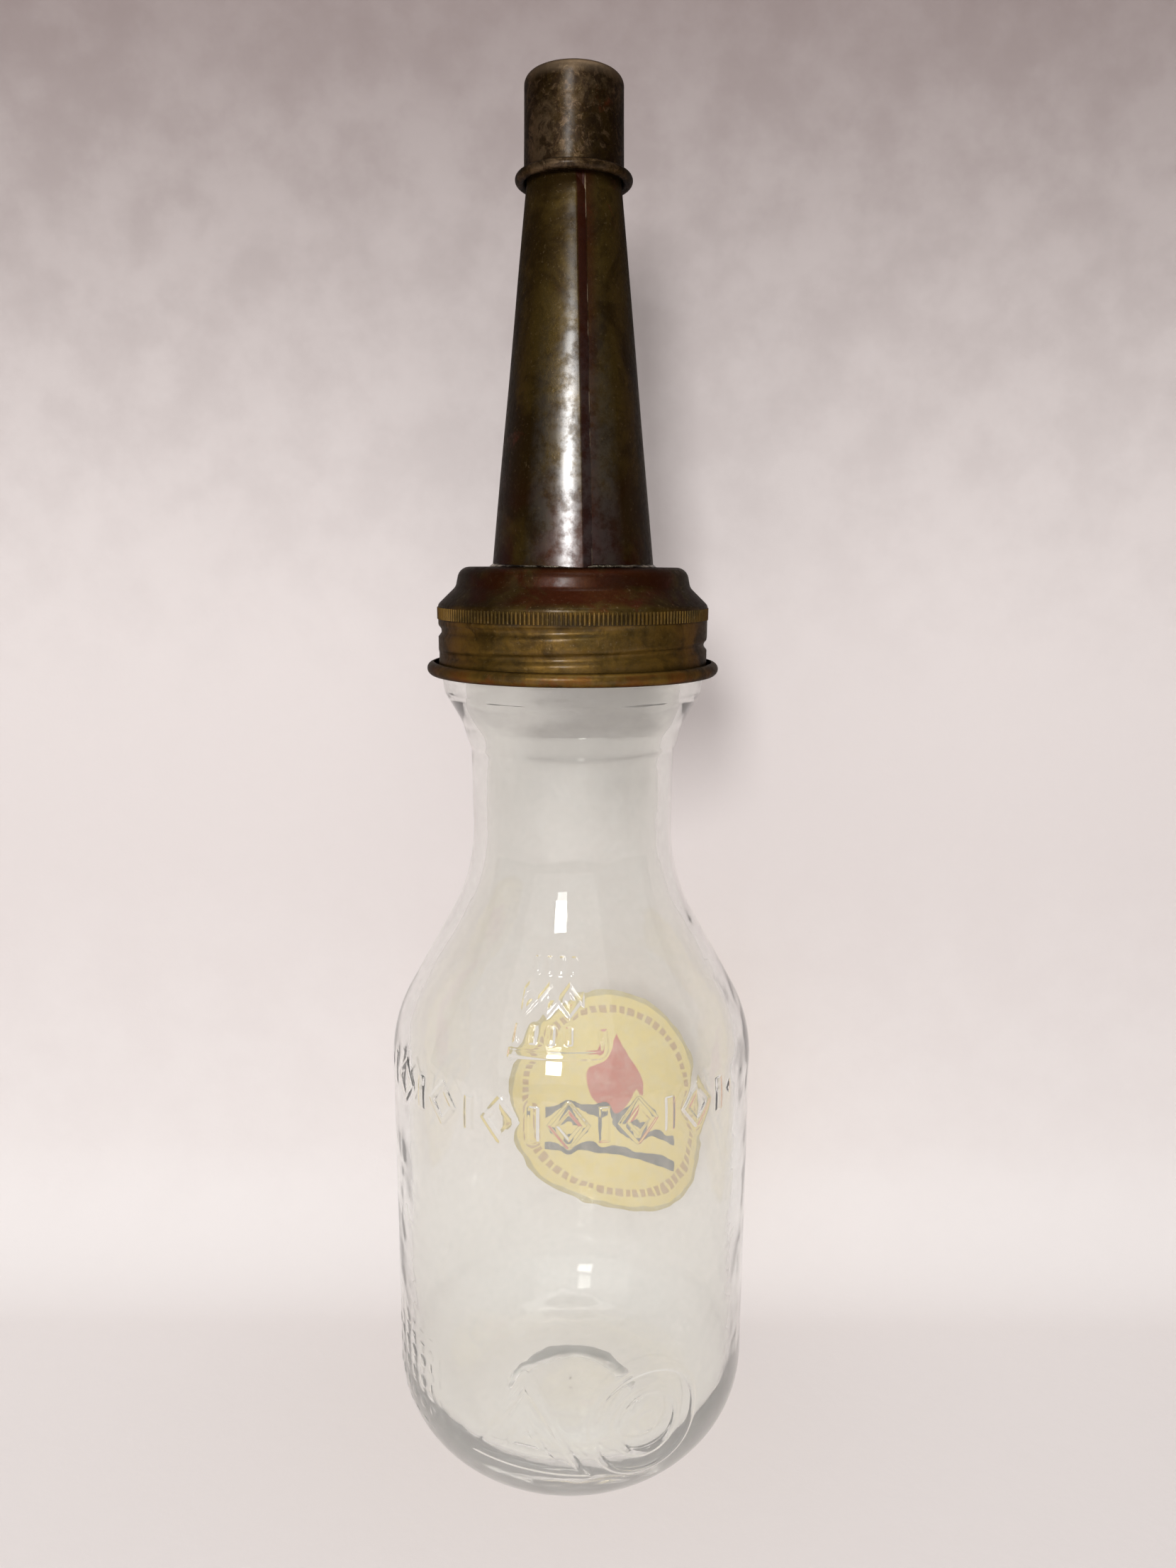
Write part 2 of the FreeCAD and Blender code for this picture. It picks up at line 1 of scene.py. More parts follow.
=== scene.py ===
# %% [markdown]
# # A glass oil bottle with a tin pouring spout
# The object is a one-quart bottle of clear blown glass. A thin tin lid screws onto its mouth, a
# long seamed cone of sheet tin is soldered to the lid, and a small cap slips over the cone's tip.
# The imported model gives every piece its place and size; this lesson gives each one its surface.

# %% Load the frame
import math

import bmesh
import bpy
import numpy as np
from mathutils import Matrix


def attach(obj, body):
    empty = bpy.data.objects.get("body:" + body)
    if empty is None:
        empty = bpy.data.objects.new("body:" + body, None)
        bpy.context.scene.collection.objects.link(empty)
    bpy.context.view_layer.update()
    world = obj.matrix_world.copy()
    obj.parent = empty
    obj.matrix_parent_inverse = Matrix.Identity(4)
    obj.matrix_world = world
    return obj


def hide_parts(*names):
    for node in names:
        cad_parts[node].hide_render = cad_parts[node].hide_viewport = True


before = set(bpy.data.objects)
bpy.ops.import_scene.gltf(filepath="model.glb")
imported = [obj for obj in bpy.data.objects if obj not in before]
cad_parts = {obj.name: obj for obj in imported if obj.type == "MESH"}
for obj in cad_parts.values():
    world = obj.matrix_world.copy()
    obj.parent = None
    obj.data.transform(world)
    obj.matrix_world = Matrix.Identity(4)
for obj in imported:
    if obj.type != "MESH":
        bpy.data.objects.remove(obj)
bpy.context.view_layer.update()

# %% [markdown]
# ## Turned pieces
# Nearly every piece here was formed round one axis: the glass was blown in a mould, and the lid
# and cap were pressed and spun. So the helper most used is one that turns a line of
# (radius, height) points about +Z. The line is given by its corners, each with a rounding, as a
# maker dimensions a drawing. Working in millimetres and converting once keeps the numbers plain.

# %% Lines with rounded corners
MM = 0.001
FULL_TURN = 2 * math.pi


def rounded_line(corners, arc_steps=8):
    """Points along straight sides joined by arcs; a corner is (radius, height, rounding) in mm."""
    points = []
    for index, (radius, height, rounding) in enumerate(corners):
        corner = np.array([radius, height], float)
        if rounding == 0 or index in (0, len(corners) - 1):
            points.append(corner)
            continue
        into = corner - np.array(corners[index - 1][:2], float)
        out = np.array(corners[index + 1][:2], float) - corner
        into /= np.linalg.norm(into)
        out /= np.linalg.norm(out)
        turn = math.atan2(into[0] * out[1] - into[1] * out[0], into @ out)
        start = corner - into * rounding * math.tan(abs(turn) / 2)
        side = math.copysign(1, turn)
        middle = start + np.array([-into[1], into[0]]) * side * rounding
        first = math.atan2(*(start - middle)[::-1])
        for angle in np.linspace(first, first + turn, arc_steps + 1):
            points.append(middle + rounding * np.array([math.cos(angle), math.sin(angle)]))
    return np.array(points)


def arc_points(middle, radius, first, last, steps):
    """Points of one arc about a middle, between two angles in degrees."""
    angles = np.radians(np.linspace(first, last, steps + 1))
    return np.array(middle) + radius * np.column_stack([np.cos(angles), np.sin(angles)])


def respaced(line, spacing):
    """The line with its points spread again, spacing(height) apart; the sharp turns stay."""
    spread = [line[0]]
    for start, finish in zip(line[:-1], line[1:]):
        length = np.linalg.norm(finish - start)
        pieces = max(1, math.ceil(length / spacing((start[1] + finish[1]) / 2)))
        for step in range(1, pieces + 1):
            spread.append(start + (finish - start) * step / pieces)
    return np.array(spread)


def thinned(line, spacing, most_turn=0.2):
    """The line without the points that lie closer than the spacing, unless it turns sharply."""
    kept = [line[0]]
    for point, after in zip(line[1:-1], line[2:]):
        chord, onward = point - kept[-1], after - point
        turn = abs(math.atan2(chord[0] * onward[1] - chord[1] * onward[0], chord @ onward))
        if np.linalg.norm(chord) >= 0.9 * spacing(point[1]) or turn > most_turn:
            kept.append(point)
    return np.array(kept + [line[-1]])


# %% [markdown]
# The turning itself lays rings of points along the line and joins them with quads. Each point can
# be moved on its way: `swell` moves it straight out from the axis, which rolls a thread or dents a
# skirt. A line that starts or ends on the axis closes there in one point, so that no hole is left.

# %% Turn a line into a mesh
def new_piece(name, verts, faces, smooth=True):
    """A mesh object at the origin from points in millimetres."""
    mesh = bpy.data.meshes.new(name)
    mesh.from_pydata((np.asarray(verts, float) * MM).tolist(), [], faces)
    mesh.update()
    if smooth:
        mesh.shade_smooth()
    piece = bpy.data.objects.new(name, mesh)
    bpy.context.scene.collection.objects.link(piece)
    return piece


def turned(name, line, angles, closed, swell=None):
    """Turn a line about +Z. Closed lines make rings; open ones end on the axis."""
    if isinstance(angles, int):
        angles = np.arange(angles) / angles * FULL_TURN
    rings, columns = len(line), len(angles)
    radius = np.repeat(line[:, :1], columns, axis=1)
    height = np.repeat(line[:, 1:], columns, axis=1)
    across = np.repeat(angles[None, :], rings, axis=0)
    if swell is not None:
        radius = radius + swell(across, radius, height)
    verts = np.stack([radius * np.cos(across), radius * np.sin(across), height], axis=2).reshape(-1, 3)
    faces = []
    last = rings if closed else rings - 1
    for ring in range(last):
        low = ring * columns
        high = (ring + 1) % rings * columns
        for column in range(columns):
            after = (column + 1) % columns
            faces.append((low + column, low + after, high + after, high + column))
    piece = new_piece(name, verts, faces)
    if not closed:
        close_poles(piece.data)
    print(name, "faces", len(piece.data.polygons))
    return piece


def close_poles(mesh):
    """Merge the rings that lie on the axis into single points."""
    work = bmesh.new()
    work.from_mesh(mesh)
    bmesh.ops.remove_doubles(work, verts=work.verts, dist=1e-6)
    work.to_mesh(mesh)
    work.free()


# %% [markdown]
# ## Small irregularities
# Old glass and old tin are never quite round. A sum of a few slow waves, with phases drawn once
# from a fixed seed, gives a wobble that is smooth, closes round the piece, and is the same on
# every run.

# %% Waves round a piece
def slow_waves(seed, size, turns, rises, count=7):
    """A smooth wobble of about `size` mm, with up to `turns` waves round and `rises` rad/mm up."""
    rng = np.random.default_rng(seed)
    terms = []
    for _ in range(count):
        around = int(rng.integers(1, turns + 1))
        upward = rng.uniform(-rises, rises)
        terms.append((around, upward, rng.uniform(0, FULL_TURN), rng.uniform(0.4, 1.0)))
    total = sum(term[3] for term in terms)

    def wave(angle, radius, height):
        mixed = 0
        for around, upward, phase, share in terms:
            mixed = mixed + share * np.sin(around * angle + upward * height + phase)
        return size * mixed / total * np.minimum(1, radius / 6)

    return wave


# %% [markdown]
# ## The bottle's outline
# The glass outline is the same drawing as the solid's: a raised base, a large round heel, a
# straight body, a long shoulder, a short neck that flares out under the lid, and the threaded
# mouth. The inside follows the outside at the thickness of the wall.

# %% The glass line
WALL = 3.6
BODY_RADIUS = 50.5
FLOOR = 7.0
RAISED = 3.5
HEEL_ROUND, SHOULDER_ROUND, NECK_ROUND = 26.0, 37.0, 50.0
HEEL_MARKS_TOP, ROW_FOOT, ROW_HEIGHT, FILL_HEIGHT = 50.0, 112.5, 119, 135.2
MARKED_BANDS = ((15.5, HEEL_MARKS_TOP), (ROW_FOOT, 125), (132.5, 158.5))
MOUTH_RINGS, MARK_RINGS, PLAIN_RINGS, INSIDE_RINGS, INSIDE_LEAST = 0.7, 0.9, 2.4, 6.0, 2.2
SHOULDER_HEIGHT, NECK_HEIGHT, NECK_TOP = 127.6, 170.2, 204.6
NECK_RADIUS, NECK_TOP_RADIUS = 27.0, 27.4
FLARE_RADIUS, FLARE_TOP = 34.4, 219.9
COLLAR_RADIUS, COLLAR_TOP = 34.9, 224.2
FINISH_RADIUS, MOUTH_RADIUS, RIM_HEIGHT, RIM_ROUND = 33.6, 28.8, 241.2, 1.2

OUTSIDE_CORNERS = [
    (0, RAISED, 0),
    (14, RAISED, 5),
    (20, 0, 3.5),
    (BODY_RADIUS, 0, HEEL_ROUND),
    (BODY_RADIUS, HEEL_MARKS_TOP, 0),
    (BODY_RADIUS, ROW_FOOT, 0),
    (BODY_RADIUS, SHOULDER_HEIGHT, SHOULDER_ROUND),
    (NECK_RADIUS, NECK_HEIGHT, NECK_ROUND),
    (NECK_TOP_RADIUS, NECK_TOP, 1.5),
    (28.2, 206.1, 1.5),
    (29.6, 211.5, 14),
    (FLARE_RADIUS, FLARE_TOP, 0.8),
    (COLLAR_RADIUS, COLLAR_TOP, 0.45),
    (FINISH_RADIUS, COLLAR_TOP, 0.45),
    (FINISH_RADIUS, RIM_HEIGHT, RIM_ROUND),
    (MOUTH_RADIUS + RIM_ROUND, RIM_HEIGHT, 0),
]
INSIDE_CORNERS = [
    (MOUTH_RADIUS + RIM_ROUND + 0.1, RIM_HEIGHT, 0),
    (MOUTH_RADIUS, RIM_HEIGHT, RIM_ROUND),
    (MOUTH_RADIUS, FLARE_TOP, 10),
    (NECK_TOP_RADIUS - WALL, NECK_TOP, 10),
    (NECK_RADIUS - WALL, NECK_HEIGHT, NECK_ROUND),
    (BODY_RADIUS - WALL, SHOULDER_HEIGHT, SHOULDER_ROUND - WALL),
    (BODY_RADIUS - WALL, FLOOR, HEEL_ROUND - WALL),
    (20 + WALL / 2, FLOOR, 7),
    (14, FLOOR + RAISED, 7),
    (0, FLOOR + RAISED, 0),
]


def glass_spacing(height):
    """Fine rings at the flare, the thread and the moulded marks, coarser ones between."""
    marked = any(foot < height < top for foot, top in MARKED_BANDS)
    return MOUTH_RINGS if height > NECK_TOP - 2 else MARK_RINGS if marked else PLAIN_RINGS


outside_line = thinned(respaced(rounded_line(OUTSIDE_CORNERS, 48), glass_spacing), glass_spacing)
inside_line = respaced(rounded_line(INSIDE_CORNERS, 14), lambda height: INSIDE_RINGS)
inside_line = thinned(inside_line, lambda height: INSIDE_LEAST)
print("rings outside", len(outside_line), "inside", len(inside_line))

# %% [markdown]
# ## Marks moulded in the glass
# The mould left raised marks: a row of lozenges and bars round the top of the body, a fill line
# that turns up at its end with small shapes over it, and plain outlines on the heel. Each is drawn
# as a distance on the outside laid flat, in millimetres round and millimetres up along the outline.
# The same sums run twice: here on arrays, to raise the mesh, and later on the shader's nodes, to
# sharpen the edges.

# %% Distances to the marks
STROKE, EDGE, LIMIT_EDGE = 0.35, 0.95, 0.3
THIN, BOLD = 0.4, 0.5

rising = outside_line[(outside_line[:, 0] > 20) & (outside_line[:, 1] < COLLAR_TOP)]


def along_outside(height):
    """Distance along the outside line, from the base's ring up to a height."""
    steps = np.linalg.norm(np.diff(rising, axis=0), axis=1)
    return np.interp(height, rising[:, 1], np.concatenate([[0], np.cumsum(steps)]))


class Sums:
    """Sums on arrays or on a shader's nodes: math() and between() say which."""

    def times(self, first, *others):
        """The product of all the values."""
        for other in others:
            first = self.math("MULTIPLY", first, other)
        return first

    def most(self, first, *others):
        """The greatest of the values."""
        for other in others:
            first = self.math("MAXIMUM", first, other)
        return first

    def plus(self, first, second):
        return self.math("ADD", first, second)

    def minus(self, first, second):
        return self.math("SUBTRACT", first, second)

    def shifted(self, value, middle):
        return self.minus(value, float(middle))

    def length(self, first, second):
        return self.math("SQRT", self.plus(self.times(first, first), self.times(second, second)))

    def stroke(self, distance, half=STROKE):
        """1 on a stroke and 0 beyond its edge."""
        return self.between(self.math("ABSOLUTE", distance), half, half + EDGE, 1, 0)

    def inside(self, value, low, high):
        """1 between two limits."""
        return self.times(self.between(value, low - LIMIT_EDGE, low + LIMIT_EDGE),
                          self.between(value, high - LIMIT_EDGE, high + LIMIT_EDGE, 1, 0))


class OnArrays(Sums):
    """The sums on arrays of numbers."""

    def math(self, kind, first, second=0.0):
        sums = {"ADD": np.add, "SUBTRACT": np.subtract, "MULTIPLY": np.multiply, "DIVIDE": np.divide,
                "MAXIMUM": np.maximum, "ABSOLUTE": lambda value, _: np.abs(value),
                "SQRT": lambda value, _: np.sqrt(value),
                "PINGPONG": lambda value, reach: reach - np.abs(value % (2 * reach) - reach)}
        return sums[kind](first, second)

    def between(self, source, low, high, to_low=0, to_high=1):
        share = np.clip((source - low) / (high - low), 0, 1)
        return to_low + (to_high - to_low) * share * share * (3 - 2 * share)


# %% [markdown]
# Each group of marks is one function of the place across and up. The strokes keep one width with
# soft edges, and every group fades out where it ends, so no mark stops in the middle of a stroke.

# %% The marks
def azimuth_mm(degrees):
    return math.radians(degrees) * BODY_RADIUS


def lozenge(sums, across, up, half_width, half_height):
    """Distance to a lozenge's outline."""
    share = sums.plus(sums.math("DIVIDE", sums.math("ABSOLUTE", across), half_width),
                      sums.math("DIVIDE", sums.math("ABSOLUTE", up), half_height))
    slant = math.hypot(1 / half_width, 1 / half_height)
    return sums.math("DIVIDE", sums.shifted(share, 1), slant)


def body_row(sums, across, up):
    """Lozenges 20 degrees apart with a bar between each two."""
    cell = azimuth_mm(10)
    beside = sums.math("PINGPONG", across, cell)
    over = sums.shifted(up, along_outside(ROW_HEIGHT))
    diamond = sums.stroke(lozenge(sums, beside, over, 3.9, 4.9))
    bar = sums.times(sums.stroke(sums.shifted(beside, cell), 0.7), sums.inside(over, -4.4, 4.4))
    here = sums.inside(across, azimuth_mm(-76), azimuth_mm(56))
    return sums.times(sums.most(diamond, bar), sums.inside(over, -6, 6), here)


def fill_line(sums, across, up):
    """A level line that turns up in a small bow at its right end, with small shapes over it."""
    level, end, bow = along_outside(FILL_HEIGHT), azimuth_mm(11.3), 2.0
    beyond = sums.most(sums.shifted(across, end - bow), 0.0)
    below = sums.most(sums.minus(float(level + bow), up), 0.0)
    line = sums.stroke(sums.shifted(sums.length(beyond, below), bow), THIN)
    line = sums.times(line, sums.inside(across, azimuth_mm(-19), end + 2),
                      sums.inside(up, level - 2, level + 6))
    ticks = sums.stroke(sums.math("PINGPONG", across, 2.6), THIN)
    ticks = sums.times(ticks, sums.inside(across, azimuth_mm(-18), azimuth_mm(2)),
                       sums.inside(up, level + 2.6, level + 7))
    row = sums.shifted(up, along_outside(147))
    small = sums.stroke(lozenge(sums, sums.math("PINGPONG", across, 3.4), row, 2.6, 2.8), THIN)
    bars = sums.stroke(sums.math("PINGPONG", sums.shifted(across, 1.5), 2.2), THIN)
    bars = sums.times(bars, sums.inside(up, along_outside(152.5), along_outside(156.5)))
    over = sums.times(sums.most(small, bars), sums.inside(across, azimuth_mm(-17), azimuth_mm(5)),
                      sums.inside(up, along_outside(143), along_outside(158)))
    return sums.most(line, ticks, over)


def heel_marks(sums, across, up):
    """A ring in a ring, a triangle in a triangle, and rows of dots."""
    ring = sums.length(sums.shifted(across, azimuth_mm(24)), sums.shifted(up, along_outside(33.5)))
    rings = sums.most(sums.stroke(sums.shifted(ring, 15.2), THIN),
                      sums.stroke(sums.shifted(ring, 9.0), BOLD), sums.stroke(ring, 2.5))
    tips = [(azimuth_mm(-12.8), along_outside(47)), (azimuth_mm(-28.5), along_outside(23.5)),
            (azimuth_mm(4.5), along_outside(21))]
    edge = None
    for start, finish in zip(tips, tips[1:] + tips[:1]):
        side = np.array(finish) - np.array(start)
        out = np.array([side[1], -side[0]]) / np.linalg.norm(side)
        reach = sums.plus(sums.times(sums.shifted(across, start[0]), float(out[0])),
                          sums.times(sums.shifted(up, start[1]), float(out[1])))
        edge = reach if edge is None else sums.most(edge, reach)
    threes = sums.most(sums.stroke(edge, THIN), sums.stroke(sums.plus(edge, 5.5), BOLD))
    dot = sums.length(sums.math("PINGPONG", across, 2.6), sums.math("PINGPONG", up, 3.2))
    dots = sums.times(sums.stroke(dot, 0.9), sums.inside(across, azimuth_mm(-80), azimuth_mm(-48)),
                      sums.inside(up, along_outside(20), along_outside(44)))
    return sums.most(rings, threes, dots)


def moulded_marks(sums, across, up):
    """1 on every mark's crest and 0 between the marks."""
    return sums.most(body_row(sums, across, up), fill_line(sums, across, up), heel_marks(sums, across, up))


print("heights with marks", MARKED_BANDS)


# %% [markdown]
# ## The bottle
# Outside and inside are turned as one closed skin, because light has to enter and leave the
# glass as it does on the real wall. The inside wobbles more than the outside: the mould holds the
# outside, while the blown inside sets freely, and this is what bends the view through the bottle.
# The screw thread is lifted out of the mouth along a helix of the same pitch as the lid's. A UV
# map keeps the outside laid flat, in millimetres, for the finish.

# %% Make the glass
PITCH = 6.35
MARK_HEIGHT, FRONT_SET_BACK, WOBBLE = 0.15, 0.13, 0.08
MARKED_FROM, MARKED_TO, FINE_TURN, COARSE_TURN = -84, 60, 0.9, 1.55
FOOT_FADE, SHOULDER_FADE = (1, 16), (180, 160)
GLASS_THREAD_START, GLASS_THREAD_TURNS, GLASS_THREAD_DEPTH = 228.275, 1.5, 1.2


def helix_lift(angle, height, start_angle, start, turns, half_width, run_out=0.06):
    """1 on a helix's crest and 0 away from it, fading at both ends."""
    lifted = np.zeros_like(height)
    first = (angle - start_angle) % FULL_TURN / FULL_TURN
    for turn in range(int(turns) + 1):
        along = first + turn
        away = np.abs(height - start - PITCH * along) / half_width
        fade = np.clip(along / run_out, 0, 1) * np.clip((turns - along) / run_out, 0, 1)
        lifted = np.maximum(lifted, np.clip(1.6 * (1 - away), 0, 1) * np.clip(fade, 0, 1))
    return lifted


def glass_thread(angle, radius, height):
    on_wall = (radius > FINISH_RADIUS - 0.6) & (radius < FINISH_RADIUS + 0.9)
    on_mouth = on_wall & (height > COLLAR_TOP + 0.6) & (height < RIM_HEIGHT - 0.4)
    crest = helix_lift(angle, height, 0, GLASS_THREAD_START, GLASS_THREAD_TURNS, 1.3)
    return GLASS_THREAD_DEPTH * crest * on_mouth


outer_wobble = slow_waves(3, WOBBLE, 4, 0.04)
inner_wobble = slow_waves(8, 0.16, 5, 0.06)


def glass_columns():
    """The columns' angles: close together on the marked front, wider apart behind."""
    front = np.arange(MARKED_FROM, MARKED_TO, FINE_TURN)
    back = np.arange(MARKED_TO, MARKED_FROM + 360, COARSE_TURN)
    return np.radians(np.concatenate([front, back]) - 90)


def relief(angle, height):
    """Height of the moulded marks over the outside, less the little that the front is set back."""
    sums = OnArrays()
    azimuth = np.arctan2(np.cos(angle), -np.sin(angle))
    marks = moulded_marks(sums, azimuth * BODY_RADIUS, along_outside(height))
    set_back = FRONT_SET_BACK * (1 + np.cos(azimuth)) / 2
    kept = sums.between(height, *FOOT_FADE) * sums.between(height, *SHOULDER_FADE)
    return (MARK_HEIGHT * marks - set_back) * kept


def glass_swell(angle, radius, height):
    rim = (height > COLLAR_TOP - 2)
    outside_here = radius > np.interp(height, rising[:, 1], rising[:, 0]) - WALL / 2
    outer = outer_wobble(angle, radius, height) + relief(angle, height)
    wobble = np.where(outside_here, outer, inner_wobble(angle, radius, height)) - WOBBLE
    return np.where(rim, 0, wobble) + glass_thread(angle, radius, height)


def unroll(piece):
    """Lay the outside flat in a UV map; the inside goes far off, where no mark is."""
    mesh = piece.data
    spots = np.empty(len(mesh.vertices) * 3)
    mesh.vertices.foreach_get("co", spots)
    spots = spots.reshape(-1, 3) / MM
    reach = np.hypot(spots[:, 0], spots[:, 1])
    azimuth = np.arctan2(spots[:, 0], -spots[:, 1])
    outside = reach > np.interp(spots[:, 2], rising[:, 1], rising[:, 0]) - WALL / 2
    across = np.where(outside, azimuth * BODY_RADIUS, -1000)
    up = np.where(outside, along_outside(spots[:, 2]), -1000)
    flat = mesh.uv_layers.new(name="unrolled")
    corners = np.empty(len(mesh.loops), int)
    mesh.loops.foreach_get("vertex_index", corners)
    starts = np.empty(len(mesh.polygons), int)
    mesh.polygons.foreach_get("loop_start", starts)
    across = across[corners]
    face_of = np.repeat(np.arange(len(starts)), np.diff(np.append(starts, len(corners))))
    wide = np.maximum.reduceat(across, starts) - np.minimum.reduceat(across, starts)
    across[(wide[face_of] > math.pi * BODY_RADIUS) & (across < 0)] += FULL_TURN * BODY_RADIUS
    flat.data.foreach_set("uv", np.column_stack([across, up[corners]]).ravel())


def make_bottle():
    line = np.vstack([outside_line, inside_line])
    piece = turned("bottle_glass", line, glass_columns(), closed=False, swell=glass_swell)
    unroll(piece)
    return piece


bottle_glass = make_bottle()
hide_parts("glass_bottle")
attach(bottle_glass, "bottle")
bottle_glass.visible_shadow = False
bottle_glass.visible_diffuse = False

# %% [markdown]
# ## Tin sheet
# The lid and the cap are sheet tin of one thickness. Their line runs down the outside, round the
# curled hem and back up the inside, so that the sheet has two real faces and a real edge.

# %% The lid's line
TIN = 0.4
LID_RADIUS = 35.6
LID_TOP, HEM_HEIGHT, HEM_CURL = 252.3, 226.0, 1.75
HOLE_RADIUS = 20.8

LID_CORNERS = [
    (HOLE_RADIUS, LID_TOP, 0),
    (29.9, LID_TOP, 3.2),
    (30.9, 247.2, 2.6),
    (LID_RADIUS, 242.6, 1.6),
    (LID_RADIUS, HEM_HEIGHT, 0),
]


def sheet_line(corners, hem_middle, curl, inward):
    """Both faces of a sheet: the outside corners, the curled hem and the inside again."""
    outer = rounded_line(corners, 8)
    curled_in = arc_points(hem_middle, curl - TIN, 180, 450, 18)
    curled_out = arc_points(hem_middle, curl, 450, 180, 22)
    inner_corners = [(radius - inward, height - shift, rounding) for radius, height, rounding, shift in
                     ((*corner, TIN if corner[1] > hem_middle[1] + 1 else 0) for corner in corners)]
    inner = rounded_line(inner_corners, 8)[::-1]
    return np.vstack([outer, curled_in[1:], curled_out, inner[1:]])[::-1]


def lid_spacing(height):
    return 0.55 if 228 < height < 240 else 1.1


lid_hem_middle = (LID_RADIUS - TIN + HEM_CURL, HEM_HEIGHT)
lid_line = respaced(sheet_line(LID_CORNERS, lid_hem_middle, HEM_CURL, TIN), lid_spacing)
print("lid rings", len(lid_line))

# %% [markdown]
# ## The rolled thread
# The lid's thread was rolled into the finished skirt by a wheel pressed from outside, so the
# groove outside is a ridge inside, and the sheet keeps its thickness. Moving both faces inwards
# along one helix does exactly that.

# %% Make the lid
ROLLED_START, ROLLED_TURNS, ROLLED_DEPTH = 229.3, 1.35, 0.8
LID_COLUMNS = 300
lid_dents = slow_waves(21, 0.16, 6, 0.22)


def rolled_thread(angle, radius, height):
    on_skirt = (radius > LID_RADIUS - 1) & (radius < LID_RADIUS + 0.2) & (height > 227.6)
    groove = helix_lift(angle, height, math.pi, ROLLED_START, ROLLED_TURNS, 1.45, 0.08)
    return -ROLLED_DEPTH * groove * on_skirt


def lid_swell(angle, radius, height):
    return rolled_thread(angle, radius, height) + lid_dents(angle, radius, height)


tin_lid = turned("tin_lid", lid_line, LID_COLUMNS, closed=True, swell=lid_swell)
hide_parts("screw_lid")
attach(tin_lid, "spout")

# %% [markdown]
# ## The ribs round the lid
# About two hundred fine upright ribs give the fingers a hold. They are one small rib repeated, so
# Geometry Nodes set a rounded bar at every point of a circle, turn each one to face outwards, and
# realize them as one mesh. The tree's inputs are the sizes that a maker would ask for.

# %% A tree of ribs
RIB_COUNT = 200
RIB_FOOT, RIB_TOP = 238.9, 241.9


def rib_tree():
    tree = bpy.data.node_groups.new("upright_ribs", "GeometryNodeTree")
    face = tree.interface
    face.new_socket("Ribs", in_out="OUTPUT", socket_type="NodeSocketGeometry")
    sockets = {}
    for label, kind in (("Count", "Int"), ("Ring Radius", "Float"), ("Rib Radius", "Float"),
                        ("Rib Length", "Float"), ("Middle Height", "Float"), ("Finish", "Material")):
        sockets[label] = face.new_socket(label, in_out="INPUT", socket_type="NodeSocket" + kind)
    nodes, links = tree.nodes, tree.links
    given = nodes.new("NodeGroupInput")
    ring = nodes.new("GeometryNodeMeshCircle")
    bar = nodes.new("GeometryNodeMeshCylinder")
    bar.inputs["Vertices"].default_value = 8
    flat = nodes.new("GeometryNodeTransform")
    flat.inputs["Scale"].default_value = (0.62, 1.0, 1.0)
    spread = nodes.new("GeometryNodeInstanceOnPoints")
    number = nodes.new("GeometryNodeInputIndex")
    share = nodes.new("ShaderNodeMath")
    share.operation = "DIVIDE"
    turn = nodes.new("ShaderNodeMath")
    turn.operation = "MULTIPLY"
    turn.inputs[1].default_value = FULL_TURN
    facing = nodes.new("ShaderNodeCombineXYZ")
    lift = nodes.new("ShaderNodeCombineXYZ")
    raised = nodes.new("GeometryNodeTransform")
    real = nodes.new("GeometryNodeRealizeInstances")
    finish = nodes.new("GeometryNodeSetMaterial")
    out = nodes.new("NodeGroupOutput")
    for source, output, target, socket in (
            (given, "Count", ring, "Vertices"), (given, "Ring Radius", ring, "Radius"),
            (given, "Rib Radius", bar, "Radius"), (given, "Rib Length", bar, "Depth"),
            (bar, "Mesh", flat, "Geometry"), (number, "Index", share, 0), (given, "Count", share, 1),
            (share, "Value", turn, 0), (turn, "Value", facing, "Z"), (ring, "Mesh", spread, "Points"),
            (flat, "Geometry", spread, "Instance"), (facing, "Vector", spread, "Rotation"),
            (given, "Middle Height", lift, "Z"), (spread, "Instances", raised, "Geometry"),
            (lift, "Vector", raised, "Translation"), (raised, "Geometry", real, "Geometry"),
            (real, "Geometry", finish, "Geometry"), (given, "Finish", finish, "Material"),
            (finish, "Geometry", out, "Ribs")):
        links.new(source.outputs[output], target.inputs[socket])
    return tree, sockets


def grown(name, tree, sockets, values):
    """Run a tree on an empty mesh and keep the result as a plain mesh."""
    seed_mesh = bpy.data.meshes.new(name + "_seed")
    holder = bpy.data.objects.new(name, seed_mesh)
    bpy.context.scene.collection.objects.link(holder)
    modifier = holder.modifiers.new("grow", "NODES")
    modifier.node_group = tree
    for label, value in values.items():
        modifier[sockets[label].identifier] = value
    bpy.context.view_layer.update()
    evaluated = holder.evaluated_get(bpy.context.evaluated_depsgraph_get())
    mesh = bpy.data.meshes.new_from_object(evaluated)
    holder.modifiers.remove(modifier)
    holder.data = mesh
    mesh.name = name
    print(name, "faces", len(mesh.polygons))
    return holder


# %% [markdown]
# ## Finishes
# Each finish is a small tree of noise patterns on Object coordinates, mixed into the one
# principled shader. The helpers below keep such a tree short to write and to read.

# %% Helpers for finishes
def linear(red, green, blue):
    """A colour as the eye reads it, 0 to 255, in the linear values that Blender works with."""
    def channel(value):
        value /= 255
        return value / 12.92 if value <= 0.04045 else ((value + 0.055) / 1.055) ** 2.4
    return (channel(red), channel(green), channel(blue), 1)


